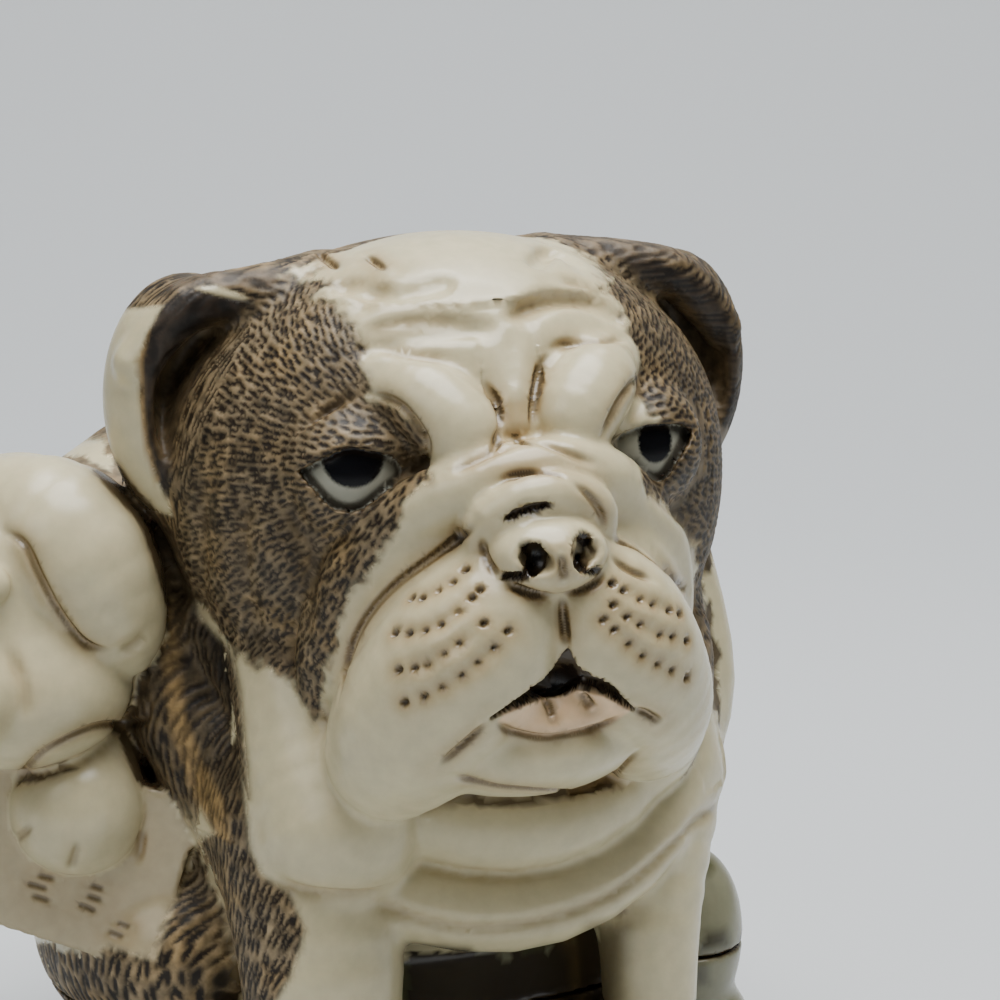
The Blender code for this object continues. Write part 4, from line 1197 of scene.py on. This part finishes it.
def painted(skin):
    """The colour of each place."""
    points, normals = skin.points, skin.normals
    probed = [figure((points + normals * far).astype(REAL)) / far for far in PROBES]
    tight, broad = (np.clip(1 - open_share, 0, 1) for open_share in probed)
    shade = mottle(points, 3.0, 7) * 0.5 + mottle(points, 0.8, 2) * 0.5
    colour = np.array(CREAM) * (0.95 + 0.10 * shade)[:, None]
    colour = mixed(colour, CARD_TAN, 0.9 * ((skin.part == SMALL) & (card(points) < 0.12)))
    stone = (skin.part == FOOT) * 1.0
    colour = mixed(colour, STONE_GREY, stone)
    colour = mixed(colour, MOSS, stone * step_up(mottle(points, 2.6, 5) + 0.8 * broad, 0.55, 0.95))
    brown = mixed(np.array(TAN), OCHRE, 0.45 * mottle(points, 2.2, 1) ** 2)
    brown *= (0.75 + 0.5 * mottle(points, 0.5, 11))[:, None]
    x, _, z = points.T
    # Brown coat on the big dog's body lighter low down and darker higher up; on the head darker towards the
    # dog's left side, which is painted shade on that side
    tone = np.where(skin.part == BODY, 1.3 - 0.75 * step_up(z, 26, 32), 1 - 0.3 * step_up(x, 8, 14))
    brown *= tone[:, None]
    brown = mixed(brown, PIT_BROWN, np.clip(skin.pit, 0, 1))
    colour = colour + (brown - colour) * skin.brown[:, None]
    for part, paint, strength, feather, area in TINTS:
        here, share = skin.within(area, feather, part)
        tinted = np.array(paint) * (1 - 0.6 * skin.pit[here])[:, None]
        colour[here] += (tinted - colour[here]) * (strength * share)[:, None]
    bare = (1 - 0.75 * skin.brown) * ~skin.eyeball
    # Ochre rings and dark brown in creases and hollows, from probes out along the normal and from each
    # crease: partly the brown wash that the resin has there, partly painted shade
    halo = 0.30 * step_up(broad, 0.35, 0.9) + 0.25 * step_up(tight, 0.2, 0.7) + 0.5 * skin.halo
    colour = mixed(colour, OCHRE, np.clip(halo, 0, 1) * bare)
    core = np.maximum(step_up(tight, 0.5, 1.0), 0.8 * step_up(broad, 0.75, 1.0)) * 0.85
    core = np.maximum(core, skin.stain_and_shade) * ~skin.eyeball
    colour = mixed(colour, WASH_AND_SHADE, step_up(core, 0.1, 0.75))
    colour = mixed(colour, DARK_PAINT_AND_SHADE, step_up(core, 0.7, 1.15))
    colour[skin.eyeball] = EYE_WHITE
    for (across, down), (half_wide, half_high) in PUPILS:
        local = (skin.pixels - (across, down)) / (half_wide, half_high)
        share = step_up(-length(local), -1.05, -0.95) * skin.eyeball
        colour = mixed(colour, PUPIL, share)
    # Painted shade: the eyeball darkened where the lids close over it
    return mixed(colour, DARK_PAINT_AND_SHADE, 0.8 * skin.eyeball * step_up(tight, 0.35, 0.9))


def refined(values, casting, creases, outline):
    """A casting's skin from the grid, made finer where it is carved."""
    points, triangles = net_skin(values, np.array(REACH_LOW), GRID_STEP)
    points = settled(points, triangles, casting, 2)
    wanted = Skin(points, mesh_normals(points, triangles), creases, outline).wanted()
    for _ in range(2):
        points, triangles, wanted = divided(points, triangles, wanted)
    points = settled(points, triangles, casting, 1)
    return triangles, Skin(points, mesh_normals(points, triangles), creases, outline)


# Blender objects
def placed(name, data):
    item = bpy.data.objects.new(name, data)
    bpy.context.scene.collection.objects.link(item)
    return item


def mesh_object(name, points, triangles):
    mesh = bpy.data.meshes.new(name)
    mesh.vertices.add(len(points))
    mesh.vertices.foreach_set("co", ((points - FOOT_CENTRE) * UNIT).astype(REAL).ravel())
    mesh.loops.add(triangles.size)
    mesh.loops.foreach_set("vertex_index", triangles.astype(np.int32).ravel())
    mesh.polygons.add(len(triangles))
    mesh.polygons.foreach_set("loop_start", np.arange(0, triangles.size, 3, dtype=np.int32))
    mesh.update(calc_edges=True)
    return placed(name, mesh)


def mesh_arrays(mesh):
    """A mesh's vertices, in sculptor's units, and its triangles."""
    points = np.empty(len(mesh.vertices) * 3, REAL)
    mesh.vertices.foreach_get("co", points)
    corners = np.empty(len(mesh.loops), np.int32)
    mesh.loops.foreach_get("vertex_index", corners)
    return points.reshape(-1, 3) / REAL(UNIT) + FOOT_CENTRE, corners.reshape(-1, 3)


def thinned(item, target, keep):
    """The object's mesh with about the target number of triangles; keep says how firmly a vertex stays."""
    group = item.vertex_groups.new(name="keep")
    for level in np.unique(keep):
        group.add([int(number) for number in np.flatnonzero(keep == level)], float(level), "REPLACE")
    fewer = item.modifiers.new("fewer", "DECIMATE")
    fewer.ratio = min(1.0, target / len(item.data.polygons))
    fewer.vertex_group = group.name
    fewer.invert_vertex_group = True
    fewer.vertex_group_factor = 1.0
    state = bpy.context.evaluated_depsgraph_get()
    mesh = bpy.data.meshes.new_from_object(item.evaluated_get(state))
    item.modifiers.clear()
    item.vertex_groups.clear()
    item.data = mesh
    return mesh


def sculpted(name, values, casting, target, creases, outline):
    """A casting's object, carved, thinned and painted."""
    triangles, skin = refined(values, casting, creases, outline)
    outside = figure(skin.points) > -0.5
    places = [skin.wanted() < 1, skin.shown, outside]
    keep = np.select(places, [KEEP_FINE, KEEP_SHOWN, KEEP_HIDDEN], KEEP_INSIDE)
    item = mesh_object(name, skin.carved(), triangles)
    mesh = thinned(item, target, keep)
    mesh.shade_smooth()
    points, triangles = mesh_arrays(mesh)
    skin = Skin(points, mesh_normals(points, triangles), creases, outline)
    colours = np.hstack([painted(skin), np.ones((len(points), 1))])
    paint = mesh.attributes.new("paint", "FLOAT_COLOR", "POINT")
    paint.data.foreach_set("color", colours.astype(REAL).ravel())
    eyes = skin.eyeball[triangles].all(1)
    fur = skin.brown[triangles].mean(1) > 0.5
    mesh.polygons.foreach_set("material_index", np.select([eyes, fur], [1, 2], 0).astype(np.int32))
    return item


def grid_places(values):
    spans = [REACH_LOW[k] + GRID_STEP * np.arange(values.shape[k]) for k in range(3)]
    return np.stack(np.meshgrid(*spans, indexing="ij"), -1).astype(REAL)


low = np.array(REACH_LOW)
blocks = np.ceil((np.array(REACH_HIGH) - low) / (BLOCK * GRID_STEP)).astype(int)
whole = sampled(figure, low, blocks, GRID_STEP)
places = grid_places(whole)
creases = marks()
outline = cream_outline()
lid = sculpted("dogs_carving", lid_casting(places, whole), lid_casting, LID_TRIANGLES, creases, outline)
base = sculpted("foot_carving", base_casting(places, whole), base_casting, BASE_TRIANGLES, creases, outline)


# Materials
def node_tree(name):
    material = bpy.data.materials.new(name)
    material.use_nodes = True
    nodes = material.node_tree.nodes
    nodes.clear()
    output = nodes.new("ShaderNodeOutputMaterial")
    shader = nodes.new("ShaderNodeBsdfPrincipled")
    material.node_tree.links.new(shader.outputs[0], output.inputs[0])
    return material, shader


def with_values(node, values):
    for socket, value in values.items():
        node.inputs[socket].default_value = value
    return node


def glazed_resin(name, roughness, coat, level, grain_depth, contrast):
    """Cast resin, painted, washed and varnished: the paint is on the mesh, with a fine grain over it."""
    material, shader = node_tree(name)
    nodes, link = material.node_tree.nodes, material.node_tree.links.new
    paint = nodes.new("ShaderNodeAttribute")
    paint.attribute_name = "paint"
    place = nodes.new("ShaderNodeTexCoord")
    grain = with_values(nodes.new("ShaderNodeTexNoise"), {"Scale": 900, "Detail": 3})
    link(place.outputs["Object"], grain.inputs["Vector"])
    span = {"From Min": 0.3, "From Max": 0.7, "To Min": 1 - contrast, "To Max": 1 + contrast}
    lift = with_values(nodes.new("ShaderNodeMapRange"), span)
    link(grain.outputs["Fac"], lift.inputs["Value"])
    tone = nodes.new("ShaderNodeVectorMath")
    tone.operation = "SCALE"
    link(paint.outputs["Color"], tone.inputs[0])
    link(lift.outputs["Result"], tone.inputs["Scale"])
    link(tone.outputs["Vector"], shader.inputs["Base Color"])
    waves = with_values(nodes.new("ShaderNodeTexNoise"), {"Scale": 420, "Detail": 4})
    link(place.outputs["Object"], waves.inputs["Vector"])
    bump = with_values(nodes.new("ShaderNodeBump"), {"Strength": grain_depth, "Distance": 0.0004})
    link(waves.outputs["Fac"], bump.inputs["Height"])
    link(bump.outputs["Normal"], shader.inputs["Normal"])
    with_values(shader, {
        "Roughness": roughness, "Coat Weight": coat, "Coat Roughness": 0.16, "Specular IOR Level": level,
        "Subsurface Weight": 0.04, "Subsurface Scale": 0.001,
    })
    return material


def plain(name, colour, roughness):
    material, shader = node_tree(name)
    with_values(shader, {"Base Color": (*colour, 1), "Roughness": roughness})
    return material


finishes = [
    glazed_resin("painted_resin", 0.27, 0.08, 0.45, 0.10, 0.05),
    glazed_resin("painted_eyes", 0.24, 0.0, 0.2, 0.02, 0.03),
    glazed_resin("painted_fur", 0.50, 0.0, 0.28, 0.30, 0.45),
]
for item, node, slot in ((lid, "dogs_lid", "cream_resin"), (base, "box_base", "stone_resin")):
    for finish in finishes:
        item.data.materials.append(finish)
    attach(item, "root")
    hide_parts(node)


# Floor that rises behind into a wall
FLOOR_COLOUR = (0.60, 0.625, 0.64)
SWEEP_HALF = 0.9
SWEEP_BACK = 0.55
SWEEP_RADIUS = 0.35
SWEEP_REACH = 1.2        # forward along the floor and up the wall
SWEEP_STEPS = 24


def sweep():
    """A pale floor, turned up behind in a wide curve, square to the camera's view."""
    start = SWEEP_BACK - SWEEP_RADIUS
    profile = [(-SWEEP_REACH, 0.0), (start, 0.0)]
    for index in range(1, SWEEP_STEPS + 1):
        angle = math.pi / 2 * index / SWEEP_STEPS
        profile.append((start + SWEEP_RADIUS * math.sin(angle), SWEEP_RADIUS * (1 - math.cos(angle))))
    profile.append((SWEEP_BACK, SWEEP_REACH))
    ahead = np.array((-TOWARDS[0], -TOWARDS[1], 0.0)) / math.hypot(TOWARDS[0], TOWARDS[1])
    points, faces = [], []
    for along, up in profile:
        for across in (-SWEEP_HALF, SWEEP_HALF):
            points.append(tuple(ahead * along + RIGHT * across + np.array((0, 0, up))))
    for first in range(0, 2 * len(profile) - 2, 2):
        faces.append((first, first + 1, first + 3, first + 2))
    mesh = bpy.data.meshes.new("floor")
    mesh.from_pydata(points, [], faces)
    mesh.shade_smooth()
    mesh.materials.append(plain("floor_paper", FLOOR_COLOUR, 0.9))
    item = placed("floor", mesh)


def area_light(name, place, size, power, aim=(0, 0, 0.04)):
    lamp = bpy.data.lights.new(name, "AREA")
    lamp.shape = "DISK"
    lamp.size = size
    lamp.energy = power
    item = placed(name, lamp)
    item.location = Vector(place)
    item.rotation_euler = (Vector(aim) - item.location).to_track_quat("-Z", "Y").to_euler()


def camera():
    """The photograph's view."""
    lens = bpy.data.cameras.new("camera")
    lens.sensor_width = SENSOR
    lens.lens = SENSOR / 2 / HALF_VIEW
    lens.clip_start = 0.01
    lens.clip_end = 20
    item = placed("camera", lens)
    axes = Matrix((RIGHT, UP, TOWARDS)).transposed().to_4x4()
    axes.translation = Vector((EYE_POINT - FOOT_CENTRE) * UNIT)
    item.matrix_world = axes
    bpy.context.scene.camera = item


sweep()
camera()
area_light("top softbox", (0.02, -0.06, 0.42), 0.34, 3.0)
area_light("side fill", (-0.36, -0.24, 0.36), 0.30, 0.45)
area_light("wall light", (0.15, 0.25, 0.75), 0.50, 3.0, (0.1, 0.6, 0.25))
world = bpy.data.worlds.new("studio")
world.use_nodes = True
with_values(world.node_tree.nodes["Background"], {"Color": (0.80, 0.84, 0.88, 1), "Strength": 0.06})
bpy.context.scene.world = world
